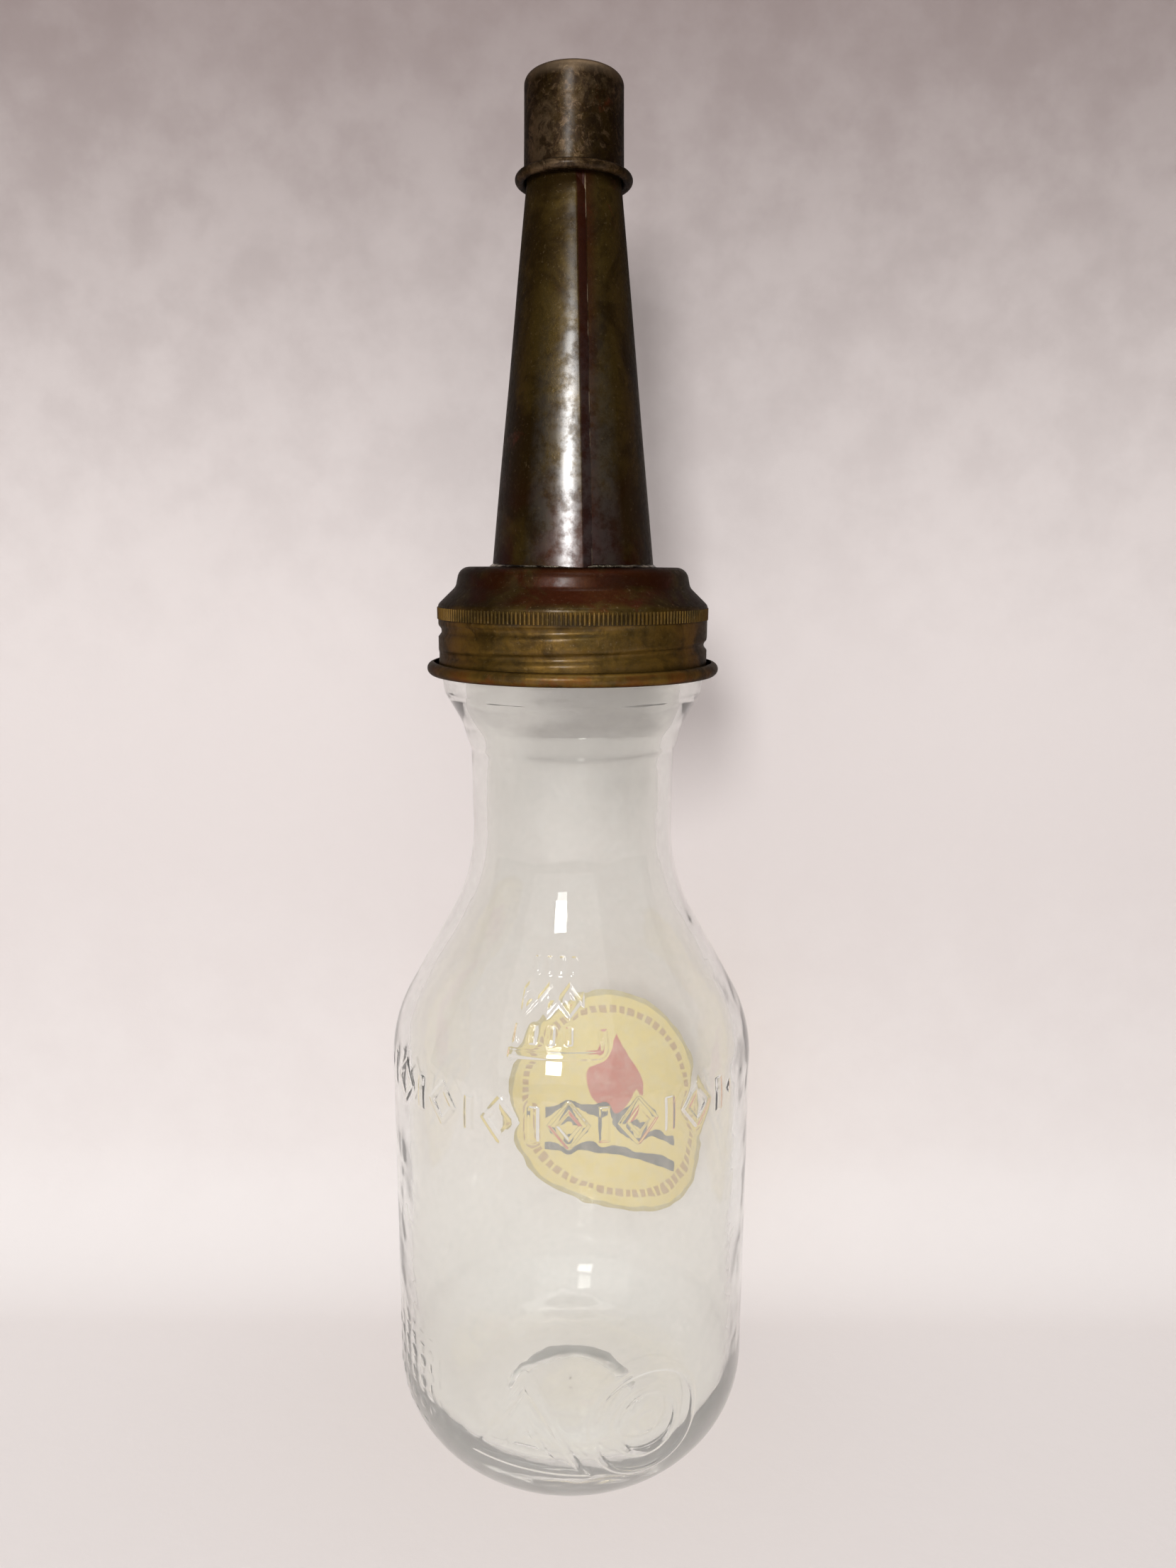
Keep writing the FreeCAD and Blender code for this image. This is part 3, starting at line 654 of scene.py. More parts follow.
class Finish(Sums):
    """A material with its principled shader and the tree that feeds it."""

    def __init__(self, name, **settings):
        self.material = bpy.data.materials.new(name)
        self.material.use_nodes = True
        self.nodes = self.material.node_tree.nodes
        self.links = self.material.node_tree.links
        self.shader = self.nodes["Principled BSDF"]
        self.place = self.nodes.new("ShaderNodeTexCoord")
        for socket, value in settings.items():
            self.shader.inputs[socket.replace("_", " ")].default_value = value

    def join(self, source, target):
        self.links.new(source, target)

    def noise(self, scale, detail=6, roughness=0.6, stretch=(1, 1, 1), seed=0, warp=0):
        """Noise of a given scale per metre, moved by its seed so that no two patterns agree."""
        mapping = self.nodes.new("ShaderNodeMapping")
        mapping.inputs["Location"].default_value = (seed * 0.37, seed * 0.91, seed * 0.53)
        mapping.inputs["Scale"].default_value = stretch
        pattern = self.nodes.new("ShaderNodeTexNoise")
        pattern.inputs["Scale"].default_value = scale
        pattern.inputs["Detail"].default_value = detail
        pattern.inputs["Roughness"].default_value = roughness
        pattern.inputs["Distortion"].default_value = warp
        self.join(self.place.outputs["Object"], mapping.inputs["Vector"])
        self.join(mapping.outputs["Vector"], pattern.inputs["Vector"])
        return pattern.outputs["Fac"]

    def between(self, source, low, high, to_low=0, to_high=1):
        """Spread a range of a value over another range, cut off at both ends."""
        spread = self.nodes.new("ShaderNodeMapRange")
        spread.interpolation_type = "SMOOTHSTEP"
        limits = {"From Min": low, "From Max": high, "To Min": to_low, "To Max": to_high}
        for socket, value in limits.items():
            spread.inputs[socket].default_value = value
        self.join(source, spread.inputs["Value"])
        return spread.outputs["Result"]

    def math(self, kind, first, second=0.0):
        node = self.nodes.new("ShaderNodeMath")
        node.operation = kind
        for index, value in enumerate((first, second)):
            if isinstance(value, (int, float)):
                node.inputs[index].default_value = value
            else:
                self.join(value, node.inputs[index])
        return node.outputs["Value"]

    def mixed(self, share, first, second):
        """Two colours mixed by a share; each is a colour or a socket."""
        mix = self.nodes.new("ShaderNodeMix")
        mix.data_type = "RGBA"
        self.join(share, mix.inputs["Factor"])
        for index, value in ((6, first), (7, second)):
            if isinstance(value, tuple):
                mix.inputs[index].default_value = value
            else:
                self.join(value, mix.inputs[index])
        return mix.outputs[2]

    def laid_over(self, base, colour, *shares):
        """A colour laid over the base by the product of some shares."""
        return self.mixed(self.times(*shares), base, colour)

    def laid_flat(self, name):
        """Across and up on one of the piece's own UV maps, in millimetres."""
        flat = self.nodes.new("ShaderNodeUVMap")
        flat.uv_map = name
        split = self.nodes.new("ShaderNodeSeparateXYZ")
        self.join(flat.outputs["UV"], split.inputs["Vector"])
        return split.outputs["X"], split.outputs["Y"]

    def up_down(self):
        """The height of a point, in metres."""
        split = self.nodes.new("ShaderNodeSeparateXYZ")
        self.join(self.place.outputs["Object"], split.inputs["Vector"])
        return split.outputs["Z"]

    def bump(self, height, strength, distance):
        bump = self.nodes.new("ShaderNodeBump")
        bump.inputs["Strength"].default_value = strength
        bump.inputs["Distance"].default_value = distance
        self.join(height, bump.inputs["Height"])
        self.join(bump.outputs["Normal"], self.shader.inputs["Normal"])

    def set_colour(self, colour):
        self.join(colour, self.shader.inputs["Base Color"])

    def set_roughness(self, value):
        self.join(value, self.shader.inputs["Roughness"])

    def set_metal(self, value):
        self.join(value, self.shader.inputs["Metallic"])

    def slant(self):
        """0 where the surface faces the viewer, 1 at its outline."""
        weight = self.nodes.new("ShaderNodeLayerWeight")
        weight.inputs["Blend"].default_value = 0.5
        return self.times(weight.outputs["Facing"], weight.outputs["Facing"])


def coat(piece, finish):
    """Give every face of a piece one finish."""
    piece.data.materials.clear()
    piece.data.materials.append(finish.material)


# %% [markdown]
# ## Clear glass and its moulded marks
# Bottle glass is clear with a breath of green-grey that shows only through its thick heel and
# rim, and years of oil and dust have left a thin film that scatters a little of the light. The
# marks already stand on the mesh; the same sums, run here on the unrolled UV map, only sharpen
# their edges between the mesh's points, and slow noise ripples the surface.

# %% Glass finish
EDGE_SHARPNESS, RIPPLE, FINE_RIPPLE = 0.18, 0.24, 0.05
NECK_GREY_AND_SHADE = (0.86, 0.87, 0.84, 1)


def glass_finish():
    glass = Finish("clear_bottle_glass", Roughness=0.01, IOR=1.5, Transmission_Weight=1.0)
    tint = glass.noise(14, 2, 0.5, seed=2)
    clear = glass.mixed(tint, (0.905, 0.915, 0.885, 1), (0.945, 0.95, 0.93, 1))
    # From the shoulder up into the neck the tint turns greyer: partly the thicker glass there, partly
    # painted shade.
    glass.set_colour(glass.mixed(glass.between(glass.up_down(), 0.14, 0.20, 0, 0.7), clear, NECK_GREY_AND_SHADE))
    dust = glass.noise(260, 5, 0.6, seed=3)
    glass.set_roughness(glass.between(dust, 0.55, 0.85, 0.008, 0.06))
    film = glass.plus(glass.between(dust, 0.45, 0.8, 0.035, 0.09),
                      glass.between(glass.up_down(), 0.012, 0.05, 0.08, 0))
    glass.join(glass.minus(1.0, film), glass.shader.inputs["Transmission Weight"])
    marks = glass.times(moulded_marks(glass, *glass.laid_flat("unrolled")), EDGE_SHARPNESS)
    ripple = glass.times(glass.noise(55, 2, 0.35, seed=1), RIPPLE)
    fine = glass.times(glass.noise(150, 1, 0.4, seed=5), FINE_RIPPLE)
    glass.bump(glass.plus(marks, glass.plus(ripple, fine)), 1.0, MM)
    return glass


coat(bottle_glass, glass_finish())

# %% [markdown]
# ## Aged tin
# The tin was bright once. Now a brown-olive tarnish covers it, thicker in some patches than in
# others, with red-brown rust where water stood and fine pits all over. The same recipe serves all
# three tin pieces, with its colours, patches and rust set for each.

# %% Tin finishes
OLIVE = linear(76, 60, 26)
DARK_OLIVE = linear(50, 36, 14)
UMBER = linear(94, 76, 56)
RED_RUST = linear(72, 28, 10)
ORANGE_RUST = linear(112, 62, 24)
WORN_TIN = linear(150, 130, 100)
RED_BROWN = linear(58, 20, 8)
GOLD_BROWN = linear(116, 88, 38)


def tin_finish(name, seed, light, dark, rust, rust_from, rust_to, worn_share, film=0.5, extra=None):
    """Tarnished tin; rust_from and rust_to are the pattern levels between which rust appears."""
    finish = Finish(name, IOR=1.35, Specular_Tint=(0.2, 0.15, 0.1, 1), Coat_Roughness=0.28, Coat_IOR=2.2)
    patches = finish.between(finish.noise(55, 6, 0.66, seed=seed, warp=0.6), 0.40, 0.62)
    base = finish.mixed(patches, dark, light)
    streaks = finish.between(finish.noise(60, 4, 0.6, stretch=(1, 1, 0.22), seed=seed + 4), 0.5, 0.75)
    base = finish.laid_over(base, UMBER, streaks, 0.35)
    mottle = finish.between(finish.noise(330, 5, 0.72, seed=seed + 5, warp=0.4), 0.50, 0.66)
    base = finish.laid_over(base, dark, mottle, 0.55)
    rust_patch = finish.between(finish.noise(58, 8, 0.7, seed=seed + 7, warp=1.2), rust_from, rust_to)
    base = finish.mixed(rust_patch, base, rust)
    specks = finish.between(finish.noise(1100, 4, 0.75, seed=seed + 9), 0.58, 0.70)
    base = finish.laid_over(base, WORN_TIN, specks, worn_share)
    dull = finish.between(finish.noise(900, 4, 0.65, seed=seed + 11), 0.3, 0.75, 0.34, 0.5)
    dull = finish.plus(dull, finish.times(rust_patch, 0.15))
    if extra:
        base, dull = extra(finish, base, dull)
    # Towards the outline the colour is pulled to a dark brown: painted shade on the sides that turn away.
    painted_edge_shade = finish.mixed(finish.times(finish.slant(), 0.8), base, linear(14, 8, 3))
    finish.set_colour(painted_edge_shade)
    finish.set_roughness(dull)
    finish.set_metal(finish.minus(0.75, finish.times(rust_patch, 0.35)))
    oily = finish.between(finish.noise(240, 5, 0.7, seed=seed + 15), 0.35, 0.62, 0.25, 1)
    facing = finish.between(finish.slant(), 0.005, 0.07, 1, 0)
    low = finish.between(finish.up_down(), 0.275, 0.325, 1, 0.12)
    finish.join(finish.times(oily, film, facing, low), finish.shader.inputs["Coat Weight"])
    finish.bump(finish.noise(1300, 6, 0.75, seed=seed + 13), 0.5, 0.0002)
    return finish


def lid_places(finish, base, dull):
    """The shoulder is red-brown, the ribs and skirt are golden with painted shade in the band under the
    ribs, the hem has rusted.
    """
    height = finish.up_down()
    blotch = finish.between(finish.noise(75, 4, 0.6, seed=33, warp=0.8), 0.36, 0.55)
    shoulder = finish.between(height, 0.2425, 0.2445)
    base = finish.laid_over(base, RED_BROWN, shoulder, blotch, 0.8)
    golden = finish.between(height, 0.2400, 0.2435, 1, 0)
    patch = finish.between(finish.noise(120, 5, 0.7, seed=37, warp=0.5), 0.34, 0.62, 0.15, 0.9)
    base = finish.laid_over(base, GOLD_BROWN, golden, patch)
    # The band where the ribs stand is darkened: painted shade in the gaps between the ribs.
    rib_gap_shade = finish.times(finish.between(height, 0.2384, 0.2390), finish.between(height, 0.2412, 0.2416, 1, 0))
    base = finish.laid_over(base, linear(26, 15, 4), rib_gap_shade, 0.75)
    hem = finish.between(height, 0.2268, 0.2274, 1, 0)
    rusted = finish.between(finish.noise(160, 5, 0.65, seed=35), 0.45, 0.6)
    base = finish.laid_over(base, ORANGE_RUST, hem, rusted, 0.5)
    return base, dull


def cap_places(finish, base, dull):
    """The cap is handled most: dark blotches are left between spots rubbed grey, and its top is lightened as
    a painted highlight.
    """
    blotch = finish.between(finish.noise(260, 6, 0.75, seed=66, warp=0.7), 0.46, 0.60)
    base = finish.laid_over(base, linear(38, 24, 10), blotch, 0.8)
    rubbed = finish.between(finish.noise(420, 5, 0.75, seed=67, warp=0.5), 0.52, 0.64)
    base = finish.laid_over(base, linear(124, 100, 76), rubbed, 0.35)
    # The flat top and its round corner are mixed towards a pale tan: a painted highlight.
    corner = finish.between(finish.up_down(), 0.3660, 0.3690, 0, 0.55)
    base = finish.mixed(corner, base, linear(150, 128, 104))
    return base, dull


def cone_places(finish, base, dull):
    """The seam's lap is rusty and darkened further as painted shade, and bright at its edges; the foot is
    redder and shinier.
    """
    height = finish.up_down()
    seam = finish.nodes.new("ShaderNodeAttribute")
    seam.attribute_name = "from_seam"
    away = seam.outputs["Fac"]
    foot = finish.between(height, 0.252, 0.280, 1, 0)
    blotch = finish.between(finish.noise(50, 5, 0.6, seed=44, warp=0.7), 0.38, 0.58)
    base = finish.laid_over(base, RED_BROWN, foot, blotch, 0.85)
    # The lap is dark red-brown: rust, deepened as painted shade on the lap's slope.
    lap_rust_and_shade = finish.times(finish.between(away, -2.6, -1.9), finish.between(away, -0.15, 0.05, 1, 0))
    base = finish.laid_over(base, linear(50, 16, 7), lap_rust_and_shade, 0.9)
    beside = finish.times(finish.between(away, 0, 0.2), finish.between(away, 0.5, 3.5, 1, 0))
    base = finish.laid_over(base, RED_BROWN, beside, 0.6)
    dashes = finish.between(finish.noise(420, 3, 0.7, stretch=(1, 1, 0.3), seed=46), 0.50, 0.60)
    edge = finish.times(finish.between(finish.math("ABSOLUTE", away), 0.05, 0.22, 1, 0), dashes)
    base = finish.laid_over(base, linear(170, 150, 124), edge, 0.7)
    return base, finish.plus(finish.minus(dull, 0.06), finish.between(height, 0.285, 0.345, 0, 0.2))


lid_tin = tin_finish("lid_tin", 20, OLIVE, DARK_OLIVE, RED_RUST, 0.58, 0.72, 0.5, 0.14, lid_places)
cone_tin = tin_finish("cone_tin", 40, OLIVE, DARK_OLIVE, RED_RUST, 0.60, 0.74, 0.25, 1.0, cone_places)
cap_tin = tin_finish("cap_tin", 60, UMBER, DARK_OLIVE, RED_RUST, 0.62, 0.74, 0.3, 0.8, cap_places)
rib_tin = tin_finish("rib_tin", 80, GOLD_BROWN, OLIVE, RED_RUST, 0.62, 0.74, 0.4, 0.15)
coat(tin_lid, lid_tin)

rib_maker, rib_inputs = rib_tree()
lid_ribs = grown("lid_ribs", rib_maker, rib_inputs, {
    "Count": RIB_COUNT,
    "Ring Radius": LID_RADIUS * MM,
    "Rib Radius": 0.38 * MM,
    "Rib Length": (RIB_TOP - RIB_FOOT) * MM,
    "Middle Height": (RIB_TOP + RIB_FOOT) / 2 * MM,
    "Finish": rib_tin.material,
})
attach(lid_ribs, "spout")

# %% [markdown]
# ## The spout
# The cone is one flat sheet rolled up, with its left edge folded down over its right one and
# soldered. It is modelled as it was made: one strip whose plan starts under the lap, goes once
# round, rises to a crease and slopes down to the raw edge. The outer corner of the lap is clipped
# at the top so that the cap can slip on.

# %% Roll the cone
SPOUT_FOOT_RADIUS, SPOUT_TIP_RADIUS = 21.2, 10.65
SPOUT_TIP = 357.0
SEAM_TURN = 13.5
LAP_WIDTH, LAP_STEP = 2.3, 0.9
CLIP_FOOT, CAP_LAND_FOOT = 340.8, 344.5


def spout_radius(height):
    share = (height - LID_TOP) / (SPOUT_TIP - LID_TOP)
    return SPOUT_FOOT_RADIUS + (SPOUT_TIP_RADIUS - SPOUT_FOOT_RADIUS) * share


def spout_plan(height, share):
    """Radius and angle (from the raw edge, in radians) of the sheet's outer face."""
    base = spout_radius(height)
    lap = LAP_WIDTH / base
    clipped = np.clip((height - CLIP_FOOT) / (CAP_LAND_FOOT - CLIP_FOOT), 0, 1)
    step = LAP_STEP * (1 - np.clip((height - CAP_LAND_FOOT + 2.5) / 2.5, 0, 1))
    last = FULL_TURN - lap * clipped
    angle = -1.3 * lap + (last + 1.3 * lap) * share
    crease = FULL_TURN - lap
    widening = np.clip((angle - 0.75 * FULL_TURN) / (crease - 0.75 * FULL_TURN), 0, 1)
    ramp = np.clip((angle - crease) / lap, 0, 1)
    over = TIN + 0.06
    radius = base + step * widening ** 1.5 * (1 - ramp) + np.minimum(step, over) * ramp
    under = np.clip(-angle / (0.3 * lap), 0, 1)
    return radius - over * 0.3 * under, angle


def spout_shares():
    """Places along the rolled sheet, close together where it folds."""
    near_start = np.linspace(0, 0.06, 30)
    middle = np.linspace(0.06, 0.93, 110)
    near_end = np.linspace(0.93, 1.0, 60)
    return np.concatenate([near_start, middle[1:], near_end[1:]])


def rolled_cone():
    shares = spout_shares()
    heights = np.linspace(LID_TOP, SPOUT_TIP, 96)
    dents = slow_waves(31, 0.12, 5, 0.12)
    faces_points = []
    from_seam = []
    for inset in (0, TIN):
        for height in heights:
            radius, angle = spout_plan(height, shares)
            turn = angle - math.pi / 2 + math.radians(SEAM_TURN)
            radius = radius - inset + dents(turn, radius, height)
            from_seam.append(np.where(angle < math.pi, angle, angle - FULL_TURN) * radius)
            faces_points.append(np.column_stack([radius * np.cos(turn), radius * np.sin(turn),
                                                 np.full_like(radius, height)]))
    verts = np.vstack(faces_points)
    wide, tall = len(shares), len(heights)
    inner = wide * tall
    faces = []
    for row in range(tall - 1):
        for column in range(wide - 1):
            corner = row * wide + column
            quad = (corner, corner + 1, corner + wide + 1, corner + wide)
            faces.append(quad)
            faces.append(tuple(inner + index for index in reversed(quad)))
    for row in range(tall - 1):
        low, high = row * wide, (row + 1) * wide
        faces.append((low, high, inner + high, inner + low))
        low, high = low + wide - 1, high + wide - 1
        faces.append((low, inner + low, inner + high, high))
    for column in range(wide - 1):
        top = (tall - 1) * wide + column
        faces.append((column, inner + column, inner + column + 1, column + 1))
        faces.append((top, top + 1, inner + top + 1, inner + top))
    cone = new_piece("rolled_cone", verts, faces)
    cone.data.set_sharp_from_angle(angle=math.radians(50))
    marks = cone.data.attributes.new("from_seam", "FLOAT", "POINT")
    marks.data.foreach_set("value", np.concatenate(from_seam).astype(np.float32))
    print("rolled_cone faces", len(faces))
    return cone


rolled = rolled_cone()
coat(rolled, cone_tin)
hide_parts("spout_cone")
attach(rolled, "spout")

# %% [markdown]
# Solder joins the cone to the lid. It is a thin, lumpy bead in the corner between them, brighter
# than the tin, made as a small turned ring whose size wanders.

# %% Solder at the foot
def solder_finish():
    finish = Finish("old_solder", Metallic=0.95)
    patch = finish.between(finish.noise(320, 5, 0.7, seed=71), 0.42, 0.62)
    finish.set_colour(finish.mixed(patch, linear(40, 30, 20), linear(150, 140, 122)))
    finish.set_roughness(finish.between(finish.noise(800, 3, 0.6, seed=72), 0.3, 0.7, 0.22, 0.5))
    finish.bump(finish.noise(700, 4, 0.7, seed=73), 0.7, 0.0004)
    return finish


solder_line = rounded_line([
    (SPOUT_FOOT_RADIUS - 0.15, LID_TOP + 0.02, 0),
    (SPOUT_FOOT_RADIUS + 0.85, LID_TOP + 0.02, 0),
    (SPOUT_FOOT_RADIUS + 0.35, LID_TOP + 0.45, 0.5),
    (SPOUT_FOOT_RADIUS - 0.15, LID_TOP + 0.8, 0),
], 4)
solder_lumps = slow_waves(77, 0.30, 40, 0.5, 14)
solder_bead = turned("solder_bead", solder_line, 240, closed=True, swell=solder_lumps)
coat(solder_bead, solder_finish())
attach(solder_bead, "spout")

# %% [markdown]
# ## The tip cap
# The cap was drawn from one disc: a flat top, a small round corner, a plain side and an edge
# curled outwards. It takes the same sheet line as the lid.

# %% Make the cap
CAP_RADIUS, CAP_TAPER, CAP_TOP, CAP_ROUND = 12.45, 0.2, 369.9, 2.4
CAP_HEM_HEIGHT, CAP_HEM_CURL = 346.3, 1.3

CAP_CORNERS = [
    (0, CAP_TOP, 0),
    (CAP_RADIUS - CAP_TAPER, CAP_TOP, CAP_ROUND),
    (CAP_RADIUS, CAP_HEM_HEIGHT, 0),
]


def cap_line():
    middle = (CAP_RADIUS - TIN + CAP_HEM_CURL, CAP_HEM_HEIGHT)
    outer = rounded_line(CAP_CORNERS, 8)
    curled_in = arc_points(middle, CAP_HEM_CURL - TIN, 180, 450, 16)
    curled_out = arc_points(middle, CAP_HEM_CURL, 450, 180, 20)
    inner = rounded_line([
        (0, CAP_TOP - TIN, 0),
        (CAP_RADIUS - CAP_TAPER - TIN, CAP_TOP - TIN, CAP_ROUND - TIN),
        (CAP_RADIUS - TIN, CAP_HEM_HEIGHT, 0),
    ], 8)[::-1]
    return np.vstack([outer, curled_in[1:], curled_out, inner[1:]])[::-1]


cap_dents = slow_waves(51, 0.10, 4, 0.2)
slip_cap = turned("slip_cap", respaced(cap_line(), lambda height: 1.0), 160, closed=False, swell=cap_dents)
coat(slip_cap, cap_tin)
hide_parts("tip_cap")
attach(slip_cap, "cap")

# %% [markdown]
# ## The label
# A round label lies on the back of the body and shows through the empty bottle. It is a disc
# bent round the glass: rings of points in the flat disc, each carried round the cylinder. Its own
# UV map keeps the flat distances, in millimetres, so the print can be drawn with plain sums.

# %% Bend the label
LABEL_RADIUS, LABEL_HEIGHT, LABEL_TURN = 38.8, 77.0, 16.7
LABEL_GAP, LABEL_THICK = 0.03, 0.10


def bent_label():
    rings, spokes = 26, 120
    flat = [(0.0, 0.0)]
    for ring in range(1, rings + 1):
        for spoke in range(spokes):
            angle = spoke / spokes * FULL_TURN
            reach = LABEL_RADIUS * ring / rings
            flat.append((reach * math.cos(angle), reach * math.sin(angle)))
    flat = np.array(flat)
    middle = math.pi / 2 - math.radians(LABEL_TURN)
    turn = middle - flat[:, 0] / BODY_RADIUS
    layers = []
    for radius in (BODY_RADIUS + LABEL_GAP, BODY_RADIUS + LABEL_GAP + LABEL_THICK):
        layers.append(np.column_stack([radius * np.cos(turn), radius * np.sin(turn),
                                       LABEL_HEIGHT + flat[:, 1]]))
    verts = np.vstack(layers)
    top = len(flat)
    faces = []
    for spoke in range(spokes):
        after = (spoke + 1) % spokes
        faces.append((0, 1 + spoke, 1 + after))
        faces.append((top, top + 1 + after, top + 1 + spoke))
        for ring in range(rings - 1):
            low, high = 1 + ring * spokes, 1 + (ring + 1) * spokes
            quad = (low + spoke, high + spoke, high + after, low + after)
            faces.append(quad)
            faces.append(tuple(top + index for index in reversed(quad)))
        edge = 1 + (rings - 1) * spokes
        faces.append((edge + after, edge + spoke, top + edge + spoke, top + edge + after))
    piece = new_piece("back_label", verts, faces)
    sheet_map = piece.data.uv_layers.new(name="flat")
    for loop in piece.data.loops:
        point = flat[loop.vertex_index % top]
        sheet_map.data[loop.index].uv = (point[0], point[1])
    piece.data.set_sharp_from_angle(angle=math.radians(50))
    return piece


back_label = bent_label()
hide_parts("label")
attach(back_label, "bottle")

# %% [markdown]
# The print is plain: a thin rim, a ring of dashes, a faded yellow field, a red drop and two bars.
# Age has clouded it, so every colour is broken by fine noise and pulled towards a warm grey.

# %% Print the label
def label_finish():
    finish = Finish("label_print", Roughness=0.6)
    across, up = finish.laid_flat("flat")
    reach = finish.length(across, up)
    colour = finish.mixed(finish.noise(60, 4, 0.6, seed=81), linear(226, 200, 104), linear(238, 216, 136))
    from_bar = finish.minus(finish.math("ABSOLUTE", finish.plus(up, 12)), 4.5)
    bars = finish.times(finish.between(finish.math("ABSOLUTE", across), 24.5, 25.0, 1, 0),
                        finish.between(finish.math("ABSOLUTE", from_bar), 1.6, 2.0, 1, 0))
    colour = finish.mixed(bars, colour, linear(70, 68, 74))
    drop_up = finish.minus(up, 8)
    narrowing = finish.between(drop_up, -2, 17, 1, 0)
    drop_reach = finish.math("DIVIDE", finish.math("ABSOLUTE", across), finish.plus(narrowing, 0.04))
    drop_round = finish.math("SQRT", finish.plus(finish.times(drop_reach, drop_reach),
                                                 finish.times(drop_up, drop_up, 0.42)))
    colour = finish.mixed(finish.between(drop_round, 9.6, 10.2, 1, 0), colour, linear(196, 84, 62))
    ring = finish.between(finish.math("ABSOLUTE", finish.minus(reach, 32.5)), 1.2, 1.5, 1, 0)
    round_about = finish.math("PINGPONG", finish.times(finish.math("ARCTAN2", up, across), 32.5), 1.7)
    dashes = finish.times(ring, finish.between(round_about, 0.4, 0.7))
    colour = finish.mixed(finish.times(dashes, 0.6), colour, linear(150, 84, 68))
    rim = finish.times(finish.between(reach, 36.9, 37.3), 0.45)
    colour = finish.mixed(rim, colour, linear(96, 92, 88))
    haze = finish.between(finish.noise(220, 6, 0.7, seed=83), 0.35, 0.75, 0.14, 0.40)
    colour = finish.mixed(haze, colour, linear(214, 206, 190))
    finish.set_colour(colour)
    finish.bump(finish.noise(600, 3, 0.5, seed=84), 0.2, 0.0002)
    return finish


coat(back_label, label_finish())

# %% [markdown]
# ## The sealing ring
# The ring under the lid is hidden until the lid comes off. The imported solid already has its
# form, so it only takes a finish: dark rubber, dulled by oil.

# %% Rubber for the ring
def rubber_finish():
    finish = Finish("oily_rubber", Metallic=0.0)
    patch = finish.noise(120, 4, 0.6, seed=91)
    finish.set_colour(finish.mixed(patch, linear(34, 29, 25), linear(58, 48, 38)))
    finish.set_roughness(finish.between(patch, 0.3, 0.7, 0.4, 0.75))
    finish.bump(finish.noise(900, 3, 0.5, seed=92), 0.3, 0.0002)
    return finish


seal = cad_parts["seal_ring"]
for holder in (seal if isinstance(seal, (list, tuple)) else [seal]):
    coat(holder, rubber_finish())

# %% [markdown]
# ## Floor and backdrop
# The bottle stands on a plain pale floor that curves up into a backdrop, so no line crosses
# behind it. Both carry a plain warm grey whose pattern only hints at paper; it is paler on the
# floor and darkens up the backdrop as painted light and shade.

# %% Make the stage
WALL_PLACE, WALL_BEND, WALL_LEAN, WALL_TOP = 80, 45, 20, 700
FLOOR_FRONT, HALF_WIDE = -1400, 1200


def sweep_finish():
    """Paper that darkens towards the top as painted shade, and that can be seen through from behind."""
    finish = Finish("paper_sweep", Roughness=0.95)
    height = finish.up_down()
    cloudy = finish.between(finish.noise(45, 4, 0.6, seed=95), 0.3, 0.7, -0.012, 0.012)
    height = finish.plus(height, cloudy)
    # Paler on the floor, darker up the backdrop and darkest at its top: painted light and shade.
    low = finish.between(height, 0.0, 0.16)
    colour = finish.mixed(low, linear(234, 228, 226), linear(223, 215, 213))
    colour = finish.mixed(finish.between(height, 0.20, 0.48), colour, linear(138, 124, 122))
    finish.set_colour(colour)
    finish.bump(finish.noise(160, 5, 0.6, seed=96), 0.15, 0.001)
    side = finish.nodes.new("ShaderNodeNewGeometry")
    clear = finish.nodes.new("ShaderNodeBsdfTransparent")
    both = finish.nodes.new("ShaderNodeMixShader")
    finish.join(side.outputs["Backfacing"], both.inputs["Fac"])
    finish.join(finish.shader.outputs["BSDF"], both.inputs[1])
    finish.join(clear.outputs["BSDF"], both.inputs[2])
    finish.join(both.outputs["Shader"], finish.nodes["Material Output"].inputs["Surface"])
    return finish


def make_sweep():
    """A floor that bends up into a wall, as one strip pulled along X."""
    corners = [(FLOOR_FRONT, 0, 0), (WALL_PLACE, 0, WALL_BEND), (WALL_PLACE + WALL_LEAN, WALL_TOP, 0)]
    line = rounded_line(corners, 24)
    verts = []
    for depth, height in line:
        verts += [(-HALF_WIDE, depth, height), (HALF_WIDE, depth, height)]
    faces = []
    for index in range(len(line) - 1):
        corner = 2 * index
        faces.append((corner, corner + 1, corner + 3, corner + 2))
    return new_piece("paper_sweep", verts, faces)


sweep = make_sweep()
coat(sweep, sweep_finish())

# %% [markdown]
# ## Light
# A small lamp stands in front, a little to the left and above, as in the photograph: it draws
# the bright upright band on the cone and the glint on the shoulder of the glass. A broad one behind
# it and one overhead give most of the light, so the shadows stay soft; the broad one stands for
# the light of the whole room, so the glass doesn't mirror it as a window. A weak
# world fills the rest, so the tarnished tin keeps its dark sides, and it is paler only where it
# is seen straight or through the glass.

# %% Lamps and world
def soft_lamp(name, place, aim, width, height, watts):
    lamp = bpy.data.lights.new(name, "AREA")
    lamp.shape = "RECTANGLE"
    lamp.size = width
    lamp.size_y = height
    lamp.energy = watts
    holder = bpy.data.objects.new(name, lamp)
    bpy.context.scene.collection.objects.link(holder)
    holder.location = place
    away = np.array(aim) - np.array(place)
    flat = math.hypot(away[0], away[1])
    holder.rotation_euler = (math.atan2(flat, -away[2]), 0, math.atan2(-away[0], away[1]))
    return holder


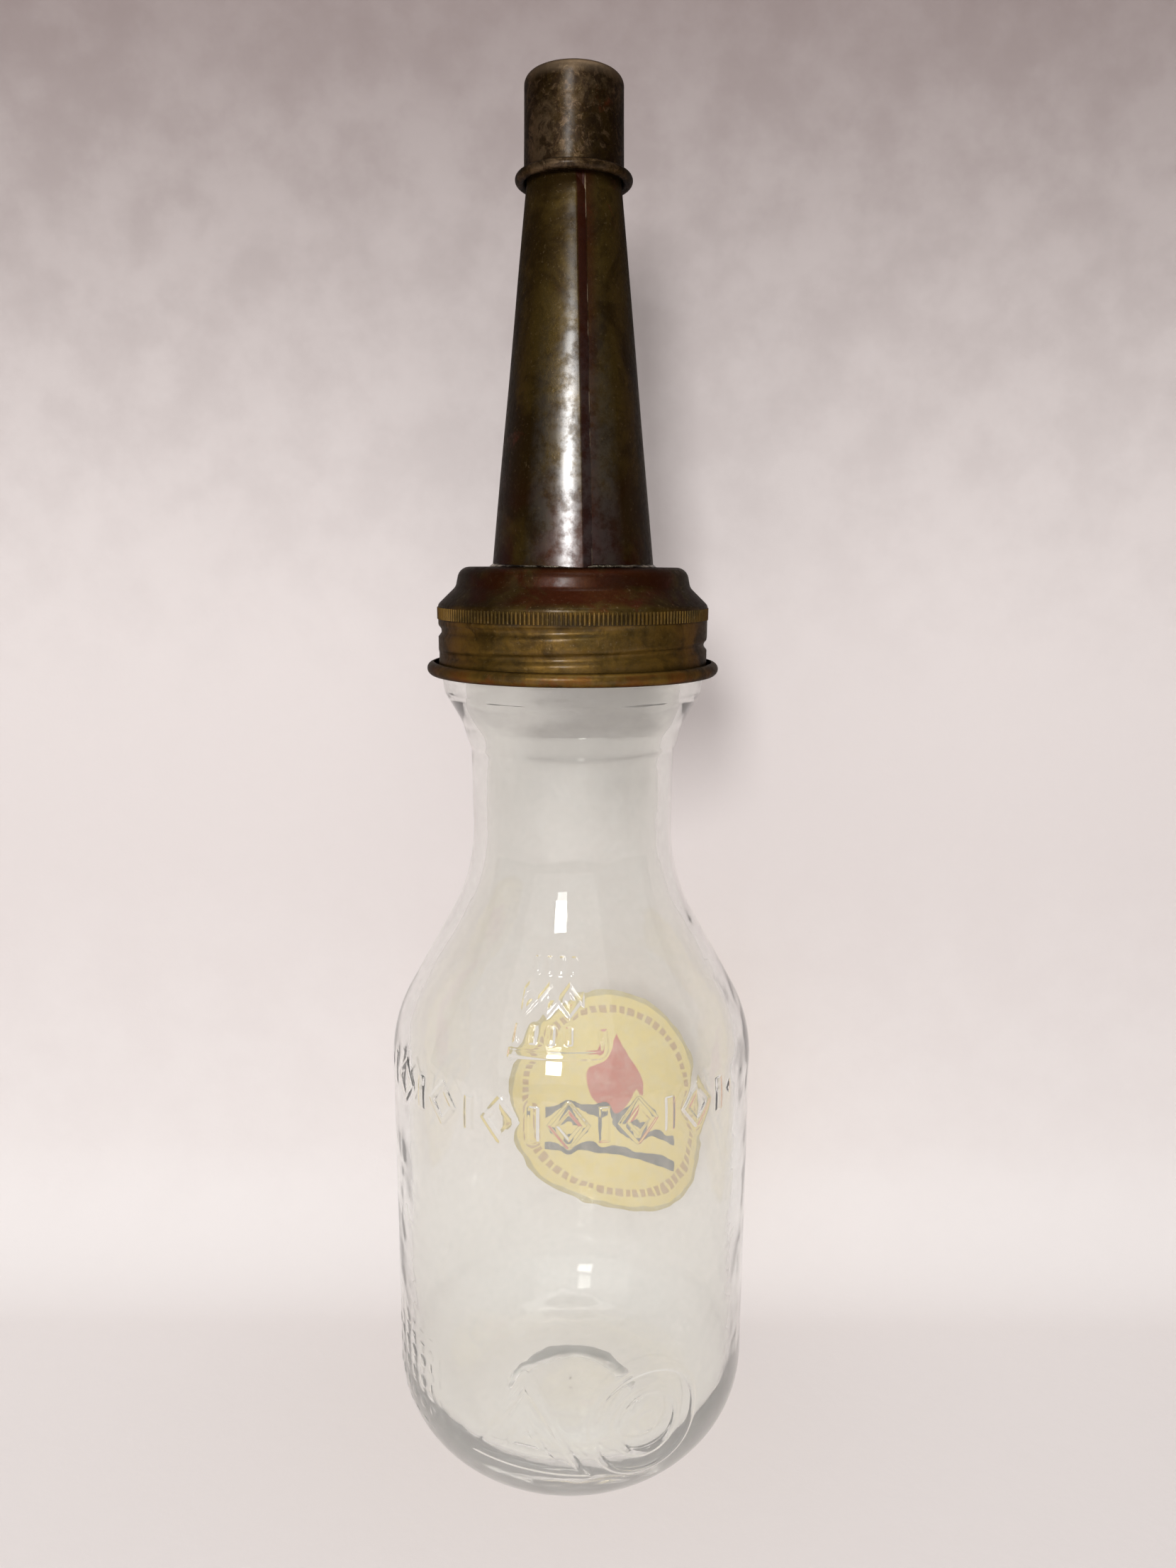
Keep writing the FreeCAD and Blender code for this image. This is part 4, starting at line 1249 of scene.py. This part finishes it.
soft_lamp("key_lamp", (-0.24, -1.24, 0.66), (0, 0, 0.2), 0.24, 0.42, 8.5)
front_lamp = soft_lamp("front_lamp", (-0.24, -1.32, 0.89), (0, 0, 0.2), 2.2, 1.5, 9)
front_lamp.visible_glossy = False
soft_lamp("top_lamp", (0.1, -0.1, 1.5), (0, 0, 0), 1.0, 1.0, 5.8)


def room(light, mirrored, pale):
    """A dim room on the object, dimmer where it is mirrored and pale where it is seen."""
    world = bpy.data.worlds.new("studio")
    world.use_nodes = True
    nodes, links = world.node_tree.nodes, world.node_tree.links
    rays = nodes.new("ShaderNodeLightPath")

    def chosen(share, low, high):
        pick = nodes.new("ShaderNodeMapRange")
        links.new(share, pick.inputs["Value"])
        for socket, value in (("To Min", low), ("To Max", high)):
            if isinstance(value, (int, float)):
                pick.inputs[socket].default_value = value
            else:
                links.new(value, pick.inputs[socket])
        return pick.outputs["Result"]

    strength = chosen(rays.outputs["Is Glossy Ray"], light, mirrored)
    strength = chosen(rays.outputs["Is Transmission Ray"], strength, pale)
    strength = chosen(rays.outputs["Is Camera Ray"], strength, pale)
    links.new(strength, nodes["Background"].inputs["Strength"])
    nodes["Background"].inputs["Color"].default_value = (0.98, 0.96, 0.94, 1)
    return world


bpy.context.scene.world = room(light=0.20, mirrored=0.10, pale=0.72)

# %% [markdown]
# ## Camera
# The camera stands where the photographer's did: found from the bottle's circles, it is about
# 0.3 m in front, level with the lid, and looks down by eleven degrees.

# %% Place the camera
CAMERA_PLACE = (0.00424, -0.3049, 0.2534)
CAMERA_DOWN, CAMERA_ROLL = 11.03, 0.293
PHOTO_TALL, FOCAL_PIXELS, SENSOR = 2212, 1600, 36.0


def place_camera():
    camera = bpy.data.cameras.new("camera")
    camera.sensor_width = SENSOR
    camera.lens = FOCAL_PIXELS / PHOTO_TALL * SENSOR
    camera.clip_start = 0.01
    holder = bpy.data.objects.new("camera", camera)
    bpy.context.scene.collection.objects.link(holder)
    tilt = Matrix.Rotation(math.radians(90 - CAMERA_DOWN), 4, "X")
    roll = Matrix.Rotation(math.radians(CAMERA_ROLL), 4, "Z")
    holder.matrix_world = Matrix.Translation(CAMERA_PLACE) @ tilt @ roll
    bpy.context.scene.camera = holder
    print("lens", round(camera.lens, 2))


place_camera()
bpy.context.scene.view_settings.view_transform = "Standard"
